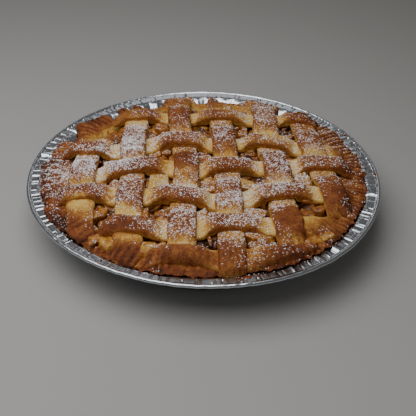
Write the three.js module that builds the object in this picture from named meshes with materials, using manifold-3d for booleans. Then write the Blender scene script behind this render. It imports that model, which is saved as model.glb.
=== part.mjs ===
// Lattice apple pie baked in a crimped foil dish. Millimetres, +Z up.
// The origin is the centre of the dish's flat underside, and -Y is the front.
import * as THREE from 'three';
import { mergeVertices } from 'three/addons/utils/BufferGeometryUtils.js';
import Module from 'manifold-3d';

// ---- driving dimensions, in millimetres and degrees ----
const GAP = 0.3; // clear space between pieces that touch in the real pie

const dish = {
  rimRadius: 122.2,
  rimHeight: 29.9,
  beadRadius: 1.1,
  flangeInnerRadius: 111.2,
  flangeHeight: 29.6,
  baseRadius: 89.5,
  foil: 0.7,
  pleats: 60,
  pleatDepth: 0.55,
  creaseDepth: 0.25,
};

const crust = {
  floor: 4, // thickness under the filling
  wall: 4.6, // thickness against the side of the dish
  rimInnerRadius: 95.5,
  crestRadius: 107,
  crestHeight: 33.15,
  edgeRadius: 112.7,
  edgeHeight: 31.4,
  edgeUnderside: 30.3,
  forkMarks: 72,
  forkDepth: 0.9,
};

const strip = {
  bedHeight: 33.5, // underside of a strip where it runs below another
  thickness: 5,
  rimThickness: 3.4, // where it lies on the rim
  bedFall: 0.25, // share of the rim's fall that the strips on it follow
  endThickness: 0.6, // share of the thickness and width left at a pressed end
  endWidth: 0.84,
  endLength: 6,
  stationStep: 5.5,
  landing: 11, // length over which an end comes down from the last crossing
};

// How the foil's rim is bent out of round: direction in degrees from +X,
// half width in degrees, amount in millimetres.
const rimBends = [[-122, 26, -2.1], [-55, 26, 2.1]];

// Where the crimped edge stands out (+) or has shrunk back and sunk (-):
// direction in degrees from +X, half width in degrees, amount in millimetres.
const edgeBumps = [
  [46, 4, 4], [147, 2.4, 5], [-150, 3, 2], [-60, 14, 3], [177, 2, 2.5],
  [29, 4, 1.8], [-102, 2.5, 2], [-79, 6, 2],
  [53.5, 3.5, -8], [79, 6, -5.5], [91.5, 3, -8.5], [113, 5.5, -9],
  [131.5, 3, -7], [156, 4.5, -6], [173, 3, -2.5], [123.5, 2.5, -3],
  [20, 2, -1.5], [-130, 3, -1.5], [36, 2.5, -1],
];
const SUNK_PER_SHRUNK = 0.55;

// The woven strips. "along" runs front to back, its centre line is x at a given y.
// "across" runs left to right, its centre line is y at a given x. from/to are the ends.
const alongStrips = [
  { width: 18, from: -79, to: 20,
    at: [-79, -60, -30, 0, 20],
    line: [-75.5, -78, -81, -82, -82] },
  { width: 18, from: -104, to: 86,
    at: [-104, -61, -24, 16, 53, 86],
    line: [-45, -47, -48.5, -50.5, -51, -53] },
  { width: 17.5, from: -104, to: 104,
    at: [-104, -84, -54, -9, 21, 56, 104],
    line: [-13, -13, -13, -12, -14.5, -19, -20.5] },
  { width: 17.5, from: -113.5, to: 96,
    at: [-113.5, -84, -24, 11, 56, 96],
    line: [17.5, 17, 16, 15, 13, 12.5] },
  { width: 19, from: -98, to: 94,
    at: [-98, -74, -54, -4, 21, 60, 94],
    line: [54.5, 53, 51, 50, 47, 46, 45.5] },
  { width: 18, from: -56, to: 68,
    at: [-56, -40, -10, 20, 50, 68],
    line: [88, 86, 82, 77.5, 75, 74] },
];
const acrossStrips = [
  { width: 16, from: -69, to: 87,
    at: [-69, -35, 0, 33, 60, 87],
    line: [61, 63.5, 63.5, 63, 62, 58] },
  { width: 18, from: -103, to: 100,
    at: [-103, -68, -34, 0, 29, 62, 100],
    line: [16, 14, 25.5, 24, 25.5, 22, 18] },
  { width: 18, from: -98, to: 106,
    at: [-98, -65, -30, 2, 25, 70, 106],
    line: [-18, -15, -7, -10, -7, -4, -3] },
  { width: 18, from: -101, to: 104,
    at: [-101, -64, -30, 2, 33, 69, 104],
    line: [-42, -40, -41.5, -46, -42.5, -36, -33] },
  { width: 18, from: -65.8, to: 88,
    at: [-65.8, -50, -30, 2, 35, 70, 88],
    line: [-72, -74.5, -76.5, -73.5, -71.5, -68.5, -66] },
  { width: 15, from: -35.3, to: 71,
    at: [-35.3, -13, 5, 35, 54, 71],
    line: [-98, -99.5, -101, -99.5, -96, -87] },
];

const filling = {
  topRadius: 90.4,
  sideHeight: 26.6, // where it meets the side of the shell
  coreHeight: 28.6,
  highest: 33, // just below the lowest strips
  pieceLow: 27, // heights between which the middles of the pieces lie
  pieceHigh: 30,
  sides: 40,
  piecesPerHole: 3,
  holeReach: 7, // how far a piece may lie from the middle of its hole
  sliceRadius: 15,
  sliceWidth: 8,
  sliceThickness: 5,
  chunk: 9,
};

// ---- small tools ----
const wasm = await Module();
wasm.setup();
const TURN = 2 * Math.PI;
const { smoothstep, lerp, degToRad, radToDeg } = THREE.MathUtils;

/** Repeatable random numbers from 0 to 1. */
function randomFrom(seed) {
  let state = seed;
  return () => {
    state = (state * 1664525 + 1013904223) % 4294967296;
    return state / 4294967296;
  };
}

/** Moves every vertex of a geometry by a function, then joins doubled vertices. */
function reshape(geometry, move) {
  geometry.deleteAttribute('normal');
  geometry.deleteAttribute('uv');
  const position = geometry.getAttribute('position');
  const point = new THREE.Vector3();
  for (let i = 0; i < position.count; i += 1) {
    point.fromBufferAttribute(position, i);
    move(point);
    position.setXYZ(i, point.x, point.y, point.z);
  }
  return withoutSlivers(mergeVertices(geometry, 1e-4));
}

function stay() {}

/** Drops the triangles that have shrunk to a line, as at the axis of a turned shape. */
function withoutSlivers(geometry) {
  const index = geometry.getIndex().array;
  const kept = [];
  for (let i = 0; i < index.length; i += 3) {
    const [a, b, c] = [index[i], index[i + 1], index[i + 2]];
    if (a !== b && b !== c && c !== a) kept.push(a, b, c);
  }
  geometry.setIndex(kept);
  return geometry;
}

/** Turns a profile of [radius, height] points about +Z and moves the result by a function. */
function turned(profile, segments, move = stay) {
  const points = profile.map(([radius, height]) => new THREE.Vector2(radius, height));
  const geometry = new THREE.LatheGeometry(points, segments);
  geometry.rotateX(Math.PI / 2);
  return reshape(geometry, move);
}

function toSolid(geometry) {
  const vertProperties = new Float32Array(geometry.getAttribute('position').array);
  const triVerts = new Uint32Array(geometry.getIndex().array);
  return new wasm.Manifold(new wasm.Mesh({ numProp: 3, vertProperties, triVerts }));
}

function toGeometry(solid) {
  const mesh = solid.getMesh();
  const geometry = new THREE.BufferGeometry();
  geometry.setAttribute('position', new THREE.BufferAttribute(mesh.vertProperties, 3));
  geometry.setIndex(new THREE.BufferAttribute(mesh.triVerts, 1));
  return geometry;
}

/** The outer skin alone, without sealed hollows between the pieces or loose scraps. */
function withoutHollows(solid) {
  const skins = solid.decompose();
  return skins.reduce((largest, skin) => (skin.volume() > largest.volume() ? skin : largest));
}

function planRadius(point) {
  return Math.hypot(point.x, point.y);
}

/** Moves a point outwards in plan by an amount. */
function pushOut(point, amount) {
  const scale = 1 + amount / planRadius(point);
  point.x *= scale;
  point.y *= scale;
}

/** Sum of the bumps, smooth (power 2) or steep sided (power 4), in the direction of a point. */
function bumpsToward(point, bumps, power) {
  const direction = radToDeg(Math.atan2(point.y, point.x));
  let shift = 0;
  for (const [angle, halfWidth, amount] of bumps) {
    const away = Math.abs(((direction - angle + 540) % 360) - 180) / halfWidth;
    shift += amount * Math.exp(-(away ** power));
  }
  return shift;
}

/** Number of the spoke a point lies on, for ribs that alternate from spoke to spoke. */
function spokeOf(point, spokes) {
  const turnShare = Math.atan2(point.y, point.x) / TURN;
  return (Math.round(turnShare * spokes) + spokes) % spokes;
}

// ---- foil dish: flat base, fluted side, creased flange and rolled bead ----
function foilDish() {
  const { rimRadius, beadRadius, rimHeight, flangeInnerRadius, flangeHeight, baseRadius, foil } = dish;
  const bead = rimRadius - beadRadius;
  const profile = [
    [0, 0],
    [baseRadius - 1, 0],
    [baseRadius + 1, 1.2],
    [flangeInnerRadius - 0.6, flangeHeight - foil - 0.9],
    [flangeInnerRadius + 1, flangeHeight - foil],
    [bead - beadRadius, flangeHeight - foil],
    [bead + 0.4, rimHeight - beadRadius],
    [rimRadius, rimHeight],
    [bead + 0.2, rimHeight + beadRadius],
    [bead - beadRadius, rimHeight + 0.3],
    [flangeInnerRadius + 1.2, flangeHeight],
    [flangeInnerRadius - 1.5, flangeHeight - 0.9],
    [baseRadius + 0.2, 1.7],
    [baseRadius - 1.3, foil],
    [0, foil],
  ];
  const random = randomFrom(7);
  const spokes = 2 * dish.pleats;
  const crease = Array.from({ length: spokes }, (_, k) => (k % 2 ? 1 : -1) * (0.3 + 0.7 * random()));
  return turned(profile, spokes, (point) => {
    const radius = planRadius(point);
    if (radius < baseRadius) return;
    const bend = bumpsToward(point, rimBends, 2) * smoothstep(radius, flangeInnerRadius, bead - beadRadius);
    pushOut(point, bend);
    if (radius > bead - 1.5) return;
    const side = crease[spokeOf(point, spokes)];
    if (radius < flangeInnerRadius - 0.1) {
      const rise = smoothstep(radius, baseRadius, flangeInnerRadius);
      pushOut(point, side * lerp(0.3, 1, rise) * dish.pleatDepth);
    } else {
      point.z += side * dish.creaseDepth;
    }
  });
}

// ---- pastry ----
const shellClearance = 1.5 + dish.pleatDepth; // the flutes stand in towards the pastry
const shellBaseRadius = dish.baseRadius - shellClearance;
const shellSideTop = dish.flangeInnerRadius - 1.5 - shellClearance;

/** Height of the top of the crimped rim, before fork marks. */
function rimTop(radius) {
  const past = Math.max(0, radius - crust.crestRadius) / (crust.edgeRadius - crust.crestRadius);
  return crust.crestHeight - (crust.crestHeight - crust.edgeHeight) * past * past;
}

function pastryShell() {
  const { floor, wall, rimInnerRadius, crestRadius, edgeRadius, edgeHeight, edgeUnderside } = crust;
  const bottom = dish.foil + GAP;
  const profile = [
    [0, bottom],
    [shellBaseRadius - 1, bottom],
    [shellBaseRadius + 0.4, bottom + 1.4],
    [shellSideTop, dish.flangeHeight - 1.2],
    [edgeRadius - 3.4, edgeUnderside - 0.1],
    [edgeRadius - 0.4, edgeUnderside],
    [edgeRadius, edgeHeight],
    [crestRadius + 2, rimTop(crestRadius + 2)],
    [crestRadius - 5, crust.crestHeight],
    [rimInnerRadius, crust.crestHeight - 1.8],
    [filling.topRadius + GAP + 0.2, filling.sideHeight + 0.4],
    [shellBaseRadius - wall, bottom + floor],
    [0, bottom + floor],
  ];
  const random = randomFrom(21);
  const spokes = 2 * crust.forkMarks;
  const pressed = Array.from({ length: spokes }, (_, k) => (k % 2 ? 0.25 : 1) * (0.6 + 0.4 * random()));
  return turned(profile, spokes, (point) => {
    const radius = planRadius(point);
    if (radius < rimInnerRadius || point.z < 25) return;
    const onRim = smoothstep(radius, rimInnerRadius, edgeRadius - 2);
    const isTop = point.z > edgeUnderside + 0.5 && radius > rimInnerRadius + 1;
    if (isTop) point.z -= pressed[spokeOf(point, spokes)] * crust.forkDepth;
    const shift = bumpsToward(point, edgeBumps, 4) * onRim;
    const overFlange = smoothstep(radius, edgeRadius - 5, edgeRadius - 1);
    point.z += Math.min(0, shift) * SUNK_PER_SHRUNK;
    pushOut(point, shift > 0 ? shift * overFlange : shift);
  });
}

// ---- woven strips ----
/** A strip with its centre line as a smooth function of the distance along it. */
function withCentreLine(plan, runsAlongY) {
  const curve = new THREE.CubicInterpolant(plan.at, plan.line, 1);
  const offset = (t) => curve.evaluate(t)[0];
  const slope = (t) => (offset(t + 1) - offset(t - 1)) / 2;
  return { ...plan, runsAlongY, offset, slope };
}

const along = alongStrips.map((plan) => withCentreLine(plan, true));
const across = acrossStrips.map((plan) => withCentreLine(plan, false));

/** Where two strips cross: y on the along strip, x on the across strip. */
function crossingOf(alongStrip, acrossStrip) {
  let y = 0;
  let x = 0;
  for (let pass = 0; pass < 25; pass += 1) {
    x = alongStrip.offset(y);
    y = acrossStrip.offset(x);
  }
  const meets = y > alongStrip.from && y < alongStrip.to && x > acrossStrip.from && x < acrossStrip.to;
  return meets ? { x, y } : null;
}

/** The crossings on a strip in order, each with its level: 1 passes over, 0 passes under. */
function crossingsOn(own, ownNumber, others) {
  const found = [];
  others.forEach((other, otherNumber) => {
    const place = own.runsAlongY ? crossingOf(own, other) : crossingOf(other, own);
    if (!place) return;
    const at = own.runsAlongY ? place.y : place.x;
    const otherAt = own.runsAlongY ? place.x : place.y;
    const skew = Math.abs(other.slope(otherAt)) + Math.abs(own.slope(at));
    const reach = (other.width / 2) * (1 + skew * skew / 2) + (own.width / 2) * skew + 1.2;
    const samePhase = ownNumber % 2 === otherNumber % 2;
    found.push({ at, reach, level: samePhase === own.runsAlongY ? 1 : 0 });
  });
  return found.sort((a, b) => a.at - b.at);
}

/** Places along a strip with their level, from one end to the other. */
function stationsOf(own, crossings) {
  const first = crossings[0];
  const last = crossings[crossings.length - 1];
  const marks = [{ at: own.from, level: 0 }];
  const firstFoot = first.at - first.reach - strip.landing;
  if (firstFoot > own.from + 1) marks.push({ at: firstFoot, level: 0 });
  for (const { at, reach, level } of crossings) {
    marks.push({ at: Math.max(at - reach, own.from + 1), level });
    marks.push({ at: Math.min(at + reach, own.to - 1), level });
  }
  const lastFoot = last.at + last.reach + strip.landing;
  if (lastFoot < own.to - 1) marks.push({ at: lastFoot, level: 0 });
  marks.push({ at: own.to, level: 0 });

  const stations = [marks[0]];
  for (let i = 1; i < marks.length; i += 1) {
    const [a, b] = [marks[i - 1], marks[i]];
    const length = b.at - a.at;
    const isFlat = a.level === b.level;
    const steps = Math.max(1, Math.round(length / (isFlat ? 2 * strip.stationStep : strip.stationStep)));
    for (let k = 1; k <= steps; k += 1) {
      const share = k / steps;
      const level = lerp(a.level, b.level, smoothstep(share, 0, 1));
      stations.push({ at: lerp(a.at, b.at, share), level });
    }
  }
  return stations;
}

function bedHeight(radius) {
  const fall = crust.crestHeight - rimTop(Math.min(radius, crust.edgeRadius));
  return strip.bedHeight - strip.bedFall * fall;
}

function thicknessAt(radius) {
  return lerp(strip.thickness, strip.rimThickness, (radius / crust.crestRadius) ** 2);
}

/** One strip of dough: a flat section with rounded shoulders, carried over and under. */
function latticeStrip(own, crossings) {
  const halfSection = [[0.95, 0], [1, 0.6], [0.7, 1]]; // shares of half width and thickness
  const otherHalf = halfSection.map(([side, up]) => [-side, up]).reverse();
  const corners = [...halfSection, ...otherHalf].map(([side, up]) => new THREE.Vector2(side, up));
  const section = new THREE.Shape(corners);
  const hand = own.runsAlongY ? -1 : 1; // keeps the faces pointing out when X and Y change places
  const stations = stationsOf(own, crossings);
  const steps = stations.length - 1;
  const geometry = new THREE.ExtrudeGeometry(section, { steps, depth: steps, bevelEnabled: false });
  return reshape(geometry, (point) => {
    const { at, level } = stations[Math.round(point.z)];
    const fromEnd = Math.min(at - own.from, own.to - at);
    const full = smoothstep(fromEnd, 0, strip.endLength);
    const side = (hand * point.x * own.width * lerp(strip.endWidth, 1, full)) / 2;
    const slope = own.slope(at);
    const run = Math.hypot(1, slope);
    const main = at - (side * slope) / run;
    const cross = own.offset(at) + side / run;
    const radius = Math.hypot(main, cross);
    const thickness = thicknessAt(radius);
    const underside = bedHeight(radius) + level * (thickness + GAP);
    const height = underside + point.y * thickness * lerp(strip.endThickness, 1, full);
    if (own.runsAlongY) point.set(cross, main, height);
    else point.set(main, cross, height);
  });
}

// ---- apple filling: a core with the pieces that show in the holes ----
function appleSlice() {
  const { sliceRadius, sliceWidth, sliceThickness } = filling;
  const outline = new THREE.Shape();
  outline.absarc(0, 0, sliceRadius, degToRad(35), degToRad(145), false);
  outline.absarc(0, 0, sliceRadius - sliceWidth, degToRad(140), degToRad(40), true);
  const options = { depth: sliceThickness, bevelEnabled: false, curveSegments: 2 };
  const geometry = new THREE.ExtrudeGeometry(outline, options);
  geometry.translate(0, sliceWidth / 2 - sliceRadius, -sliceThickness / 2);
  return geometry;
}

function appleChunk() {
  const { chunk } = filling;
  return new THREE.BoxGeometry(chunk * 1.3, chunk, chunk);
}

/** The middles of the lattice's holes, between neighbouring strips both ways. */
function holeCentres() {
  const centres = [];
  for (let i = 0; i < along.length - 1; i += 1) {
    for (let j = 0; j < across.length - 1; j += 1) {
      const y = (across[j].offset(along[i].offset(0)) + across[j + 1].offset(along[i].offset(0))) / 2;
      const x = (along[i].offset(y) + along[i + 1].offset(y)) / 2;
      centres.push([x, (across[j].offset(x) + across[j + 1].offset(x)) / 2]);
    }
  }
  return centres.filter(([x, y]) => Math.hypot(x, y) < filling.topRadius - 4);
}

/** The filling up to where the pieces stand out of it. */
function fillingCore(bottom, baseRadius) {
  const { topRadius, sideHeight, coreHeight } = filling;
  const profile = [
    [0, bottom],
    [baseRadius, bottom],
    [topRadius, sideHeight],
    [topRadius - 4, coreHeight],
    [0, coreHeight],
  ];
  return toSolid(turned(profile, filling.sides));
}

/** The space inside the shell and below the lattice that pieces may reach into. */
function fillingRoom(bottom, baseRadius) {
  const { topRadius, sideHeight, highest } = filling;
  const profile = [
    [0, bottom + 1],
    [baseRadius - 1, bottom + 1],
    [topRadius - 0.8, sideHeight],
    [topRadius + 2.6, sideHeight + 4],
    [topRadius, highest],
    [0, highest],
  ];
  return toSolid(turned(profile, filling.sides));
}

function appleFilling() {
  const bottom = dish.foil + GAP + crust.floor + GAP;
  const baseRadius = shellBaseRadius - crust.wall - GAP - 0.3;
  const random = randomFrom(90);
  const between = (low, high) => lerp(low, high, random());
  const pieces = [];
  for (const [x, y] of holeCentres()) {
    for (let k = 0; k < filling.piecesPerHole; k += 1) {
      const geometry = k === 0 ? appleChunk() : appleSlice();
      geometry.rotateX(between(-0.5, 0.5) + (k === 2 ? 0.7 : 0));
      geometry.rotateY(between(-0.35, 0.35));
      geometry.rotateZ(between(0, TURN));
      const reach = filling.holeReach;
      const lift = between(filling.pieceLow, filling.pieceHigh);
      geometry.translate(x + between(-reach, reach), y + between(-reach, reach), lift);
      pieces.push(toSolid(reshape(geometry, stay)));
    }
  }
  const heap = pieces.reduce((sum, piece) => sum.add(piece));
  const showing = heap.intersect(fillingRoom(bottom, baseRadius));
  return toGeometry(withoutHollows(fillingCore(bottom, baseRadius).add(showing)));
}

// ---- the pie ----
const foil = new THREE.MeshStandardMaterial({ color: 0xb9bec3, roughness: 0.32, metalness: 1 });
const bakedRim = new THREE.MeshStandardMaterial({ color: 0x8c4f22, roughness: 0.75, metalness: 0 });
const bakedStrip = new THREE.MeshStandardMaterial({ color: 0xb87535, roughness: 0.7, metalness: 0 });
const apple = new THREE.MeshStandardMaterial({ color: 0xb98a3c, roughness: 0.4, metalness: 0 });

const pie = new THREE.Group();

function addPiece(name, geometry, material) {
  const mesh = new THREE.Mesh(geometry, material);
  mesh.name = name;
  pie.add(mesh);
}

addPiece('foil_dish', foilDish(), foil);
addPiece('pastry_shell', pastryShell(), bakedRim);
addPiece('apple_filling', appleFilling(), apple);
along.forEach((own, number) => {
  const geometry = latticeStrip(own, crossingsOn(own, number, across));
  addPiece(`strip_along_${number + 1}`, geometry, bakedStrip);
});
across.forEach((own, number) => {
  const geometry = latticeStrip(own, crossingsOn(own, number, along));
  addPiece(`strip_across_${number + 1}`, geometry, bakedStrip);
});

export default pie;
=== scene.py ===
"""Looks of a lattice apple pie in a foil dish.

Sizes are millimetres and degrees unless a property or a comment says otherwise.
"""
import math
from types import SimpleNamespace

import bmesh
import bpy
import numpy as np
from mathutils import Matrix, Vector
from mathutils.bvhtree import BVHTree


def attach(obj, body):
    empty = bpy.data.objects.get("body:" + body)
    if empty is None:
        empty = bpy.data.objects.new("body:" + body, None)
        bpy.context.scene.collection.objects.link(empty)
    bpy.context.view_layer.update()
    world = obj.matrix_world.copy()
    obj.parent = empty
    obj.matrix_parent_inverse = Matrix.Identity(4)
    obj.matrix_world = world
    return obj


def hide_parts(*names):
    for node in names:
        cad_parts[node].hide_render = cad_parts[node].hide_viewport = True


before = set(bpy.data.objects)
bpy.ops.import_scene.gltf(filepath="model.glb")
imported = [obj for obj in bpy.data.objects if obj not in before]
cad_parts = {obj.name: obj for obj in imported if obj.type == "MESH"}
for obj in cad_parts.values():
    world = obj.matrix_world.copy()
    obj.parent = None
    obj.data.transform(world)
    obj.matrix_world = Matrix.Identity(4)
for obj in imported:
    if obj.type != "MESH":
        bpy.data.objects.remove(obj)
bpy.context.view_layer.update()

bl_info = {
    "name": "Lattice apple pie",
    "version": (1, 0, 0),
    "blender": (4, 5, 0),
    "location": "View3D > Sidebar > Pie",
    "description": "Shapes and bakes a lattice apple pie in its foil dish",
    "category": "Add Mesh",
}

MM = 0.001
BODY = "root"


# ---- sizes and colours ----

def to_linear(hex_colour):
    """An sRGB hex value as a linear colour with alpha 1."""
    parts = [int(hex_colour[i:i + 2], 16) / 255 for i in (1, 3, 5)]
    return tuple(p / 12.92 if p <= 0.04045 else ((p + 0.055) / 1.055) ** 2.4 for p in parts) + (1.0,)


def length(name, description, millimetres):
    return bpy.props.FloatProperty(name=name, description=description, default=millimetres * MM,
                                   unit="LENGTH", precision=5)


def count(name, description, default):
    return bpy.props.IntProperty(name=name, description=description, default=default, min=1)


def amount(name, description, default):
    return bpy.props.FloatProperty(name=name, description=description, default=default, min=0)


def colour(name, description, hex_colour):
    return bpy.props.FloatVectorProperty(name=name, description=description, default=to_linear(hex_colour),
                                         size=4, min=0, max=1, subtype="COLOR")


def in_mm(settings):
    """The settings as plain numbers, with every length in millimetres."""
    values = {}
    for kind in settings.bl_rna.properties:
        value = getattr(settings, kind.identifier)
        values[kind.identifier] = value / MM if kind.unit == "LENGTH" else value
    return SimpleNamespace(**values)


class DishSettings(bpy.types.PropertyGroup):
    base_radius: length("Base radius", "Radius of the flat base", 89.5)
    flange_inner: length("Flange start", "Radius where the side turns into the flange", 111.2)
    flange_height: length("Flange height", "Height of the top of the flange", 29.6)
    bead_radius: length("Bead radius", "Radius of the rolled bead's section", 1.25)
    rim_radius: length("Rim radius", "Outer radius of the bead", 122.2)
    rim_height: length("Rim height", "Height of the middle of the bead", 29.9)
    foil: length("Foil", "Thickness of the foil", 0.5)
    flutes: count("Flutes", "Number of flutes on the side", 60)
    flute_depth: length("Flute depth", "Depth of the flutes at the top of the side", 0.75)
    creases: count("Creases", "Number of sharp radial creases on the flange", 120)
    steps: count("Steps", "Number of faces round the dish", 1800)
    metal: colour("Metal", "Colour of the foil", "#C8CDD4")


class CrustSettings(bpy.types.PropertyGroup):
    rim_inner: length("Rim inner radius", "Radius where the rim rises out of the shell", 95.5)
    crest_radius: length("Crest radius", "Radius where the rim starts to fall", 107)
    crest_height: length("Crest height", "Height of the rim", 33.15)
    edge_radius: length("Edge radius", "Radius of the outer edge", 112.7)
    edge_height: length("Edge height", "Height of the outer edge", 31.4)
    edge_underside: length("Edge underside", "Height of the underside of the edge", 30.3)
    fork_depth: length("Fork depth", "Depth of the fork marks", 2.0)
    tine_spacing: length("Tine spacing", "Distance between fork marks", 4.3)
    steps: count("Steps", "Number of faces round the rim", 1080)
    pale: colour("Pale dough", "Colour of dough that the heat hardly reached", "#DDB765")
    yellow: colour("Yellow dough", "Colour of dough that was sheltered", "#C89346")
    golden: colour("Golden dough", "Colour of lightly baked dough", "#A36C31")
    baked: colour("Baked dough", "Colour of well baked dough", "#8F5328")
    brown: colour("Brown dough", "Colour of the darker edges", "#773C1A")
    dark: colour("Dark dough", "Colour of the dark rim", "#5C2F18")
    burnt: colour("Burnt dough", "Colour of burnt crumbs", "#3A1B0D")


class LatticeSettings(bpy.types.PropertyGroup):
    bed_height: length("Bed height", "Height of the underside of a strip that passes under", 33.4)
    thickness: length("Thickness", "Thickness of a strip in the middle of the pie", 5.0)
    rim_thickness: length("Rim thickness", "Thickness of a strip on the rim", 3.4)
    landing: length("Landing", "Length over which an end comes down from its last crossing", 11)
    sides: count("Sides", "Number of faces round a strip", 56)
    step: length("Step", "Length of a face along a strip", 0.8)


class FillingSettings(bpy.types.PropertyGroup):
    top_radius: length("Top radius", "Radius of the filling at its top", 90.4)
    side_height: length("Side height", "Height where the filling meets the shell", 26.6)
    core_height: length("Core height", "Height of the syrup", 28.6)
    highest: length("Highest", "Height that no piece in the syrup passes", 33.0)
    pieces_per_hole: count("Pieces per hole", "Pieces of apple in the syrup at each hole of the lattice", 3)
    piece_depth: length("Piece depth", "Depth of a piece of apple that shows in a hole", 9)
    packing: length("Packing", "Distance between the small pieces that fill up the holes", 7.5)
    flesh: colour("Flesh", "Colour of pale cooked apple", "#CDA44A")
    soaked: colour("Soaked flesh", "Colour of apple soaked in syrup", "#A5611D")
    syrup: colour("Syrup", "Colour of the deep syrup", "#4E2711")


class SugarSettings(bpy.types.PropertyGroup):
    grains: count("Grains", "Largest number of clumps of sugar", 48000)
    density: amount("Density", "Clumps on a square millimetre where the sugar lies thickest", 4.2)
    grain: length("Grain", "Width of a usual clump", 1.1)
    seed: count("Seed", "Seed of the dusting", 12)
    white: colour("Sugar", "Colour of the dry sugar", "#F8F8FC")
    damp: colour("Damp sugar", "Colour of sugar that the pie has moistened", "#E8E4E2")


class CrumbSettings(bpy.types.PropertyGroup):
    crumbs: count("Crumbs", "Number of crumbs on the flange", 150)
    crumb: length("Crumb", "Width of a usual crumb", 1.0)
    seed: count("Seed", "Seed of the crumbs", 4)
    juice: colour("Juice", "Colour of dried apple juice", "#8A3F17")


class StageSettings(bpy.types.PropertyGroup):
    focal_length: amount("Focal length", "Focal length of the camera in mm, on a 36 mm sensor", 62.06)
    floor_colour: colour("Floor", "Colour of the floor", "#A9A8A6")
    room: colour("Room", "Colour of the light from the room", "#928F8B")
    room_strength: amount("Room strength", "Brightness of the room", 0.44)
    overhead: amount("Overhead light", "Power of the softbox above the pie, in W", 3.2)
    window: amount("Window", "Power of the pale panel behind the pie, in W", 0.65)


# ---- small tools ----

def smoothstep(x, low, high):
    t = np.clip((x - low) / (high - low), 0, 1)
    return t * t * (3 - 2 * t)


def lerp(a, b, t):
    return a + (b - a) * t


# Large odd factors that scramble the cells of rough: one for each axis, one for the seed and two
# that mix the bits.
AXIS_FACTORS = np.array([73856093, 19349663, 83492791], dtype=np.int64)
SEED_FACTOR = 2654435761
MIX_FACTORS = 2246822519, 3266489917
LOW_32_BITS, LOW_16_BITS = 0xFFFFFFFF, 0xFFFF
# Moves every point of the pie to the positive side of the cells.
CELL_OFFSET = 1000


def rough(points, size, seed):
    """Smooth random values from -1 to 1, whose bumps are about size apart, at an array of points."""
    scaled = np.asarray(points, float) / size + CELL_OFFSET
    cell = np.floor(scaled).astype(np.int64)
    part = scaled - cell
    part = part * part * (3 - 2 * part)
    dimensions = scaled.shape[1]
    total = np.zeros(len(scaled))
    for corner in range(2 ** dimensions):
        bits = np.array([(corner >> k) & 1 for k in range(dimensions)])
        key = ((cell + bits) @ AXIS_FACTORS[:dimensions] + seed * SEED_FACTOR) & LOW_32_BITS
        key = ((key ^ (key >> 15)) * MIX_FACTORS[0]) & LOW_32_BITS
        key = ((key ^ (key >> 13)) * MIX_FACTORS[1]) & LOW_32_BITS
        value = ((key ^ (key >> 16)) & LOW_16_BITS) / LOW_16_BITS
        total += value * np.prod(np.where(bits == 1, part, 1 - part), axis=1)
    return 2 * total - 1


def degrees_round(points):
    return np.degrees(np.arctan2(points[:, 1], points[:, 0]))


def turn_between(a, b):
    """Difference of directions in degrees, from -180 to 180."""
    return (a - b + 540) % 360 - 180


def on_ring(direction, radius):
    """The points in plan of a ring round the pie, in the directions given."""
    turn = np.radians(direction)
    return np.stack([np.cos(turn), np.sin(turn)], 1) * radius


def bumps_at(direction, bumps, power):
    """Sum of bumps [direction, half width, amount] in the directions given."""
    total = np.zeros_like(direction, dtype=float)
    for angle, half_width, amount in bumps:
        total += amount * np.exp(-np.abs(turn_between(direction, angle) / half_width) ** power)
    return total


def spots_at(points, spots):
    """Sum of round spots [x, y, radius, amount] in plan, or oval ones [x, y, radius x, radius y, amount]."""
    total = np.zeros(len(points))
    for spot in spots:
        x, y, wide, deep, amount = spot if len(spot) == 5 else (*spot[:3], spot[2], spot[3])
        total += amount * np.exp(-((points[:, 0] - x) / wide) ** 2 - ((points[:, 1] - y) / deep) ** 2)
    return total


def get_points(mesh):
    points = np.empty(len(mesh.vertices) * 3)
    mesh.vertices.foreach_get("co", points)
    return points.reshape(-1, 3)


def set_points(mesh, points):
    mesh.vertices.foreach_set("co", np.ascontiguousarray(points, dtype=np.float32).ravel())
    mesh.update()


def get_normals(mesh):
    normals = np.empty(len(mesh.vertices) * 3)
    mesh.vertex_normals.foreach_get("vector", normals)
    return normals.reshape(-1, 3)


def set_values(mesh, name, values):
    """Stores one number for each vertex, for the materials to read."""
    attribute = mesh.attributes.new(name, "FLOAT", "POINT")
    attribute.data.foreach_set("value", np.ascontiguousarray(values, dtype=np.float32))


def to_mesh(bm, name):
    mesh = bpy.data.meshes.new(name)
    bm.to_mesh(mesh)
    bm.free()
    return mesh


def shape_of(bm):
    """The points of a bmesh and the corners of its faces."""
    bm.verts.index_update()
    points = np.array([vert.co[:] for vert in bm.verts])
    corners = [[vert.index for vert in face.verts] for face in bm.faces]
    bm.free()
    return points, corners


def join(parts):
    """The points and corners of several shapes as those of one."""
    points, corners, offset = [], [], 0
    for part_points, part_corners in parts:
        points.append(part_points)
        corners += [[offset + v for v in corner] for corner in part_corners]
        offset += len(part_points)
    return np.concatenate(points), corners


def mesh_from(name, shape):
    mesh = bpy.data.meshes.new(name)
    mesh.from_pydata(shape[0], [], shape[1])
    return mesh


def add_piece(name, mesh, materials, replaced=None):
    """Makes a mesh, laid out in millimetres, a piece of the pie."""
    set_points(mesh, get_points(mesh) * MM)
    mesh.shade_smooth()
    piece = bpy.data.objects.new(name, mesh)
    bpy.context.scene.collection.objects.link(piece)
    for material in materials:
        mesh.materials.append(material)
    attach(piece, BODY)
    if replaced:
        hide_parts(replaced)


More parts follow.
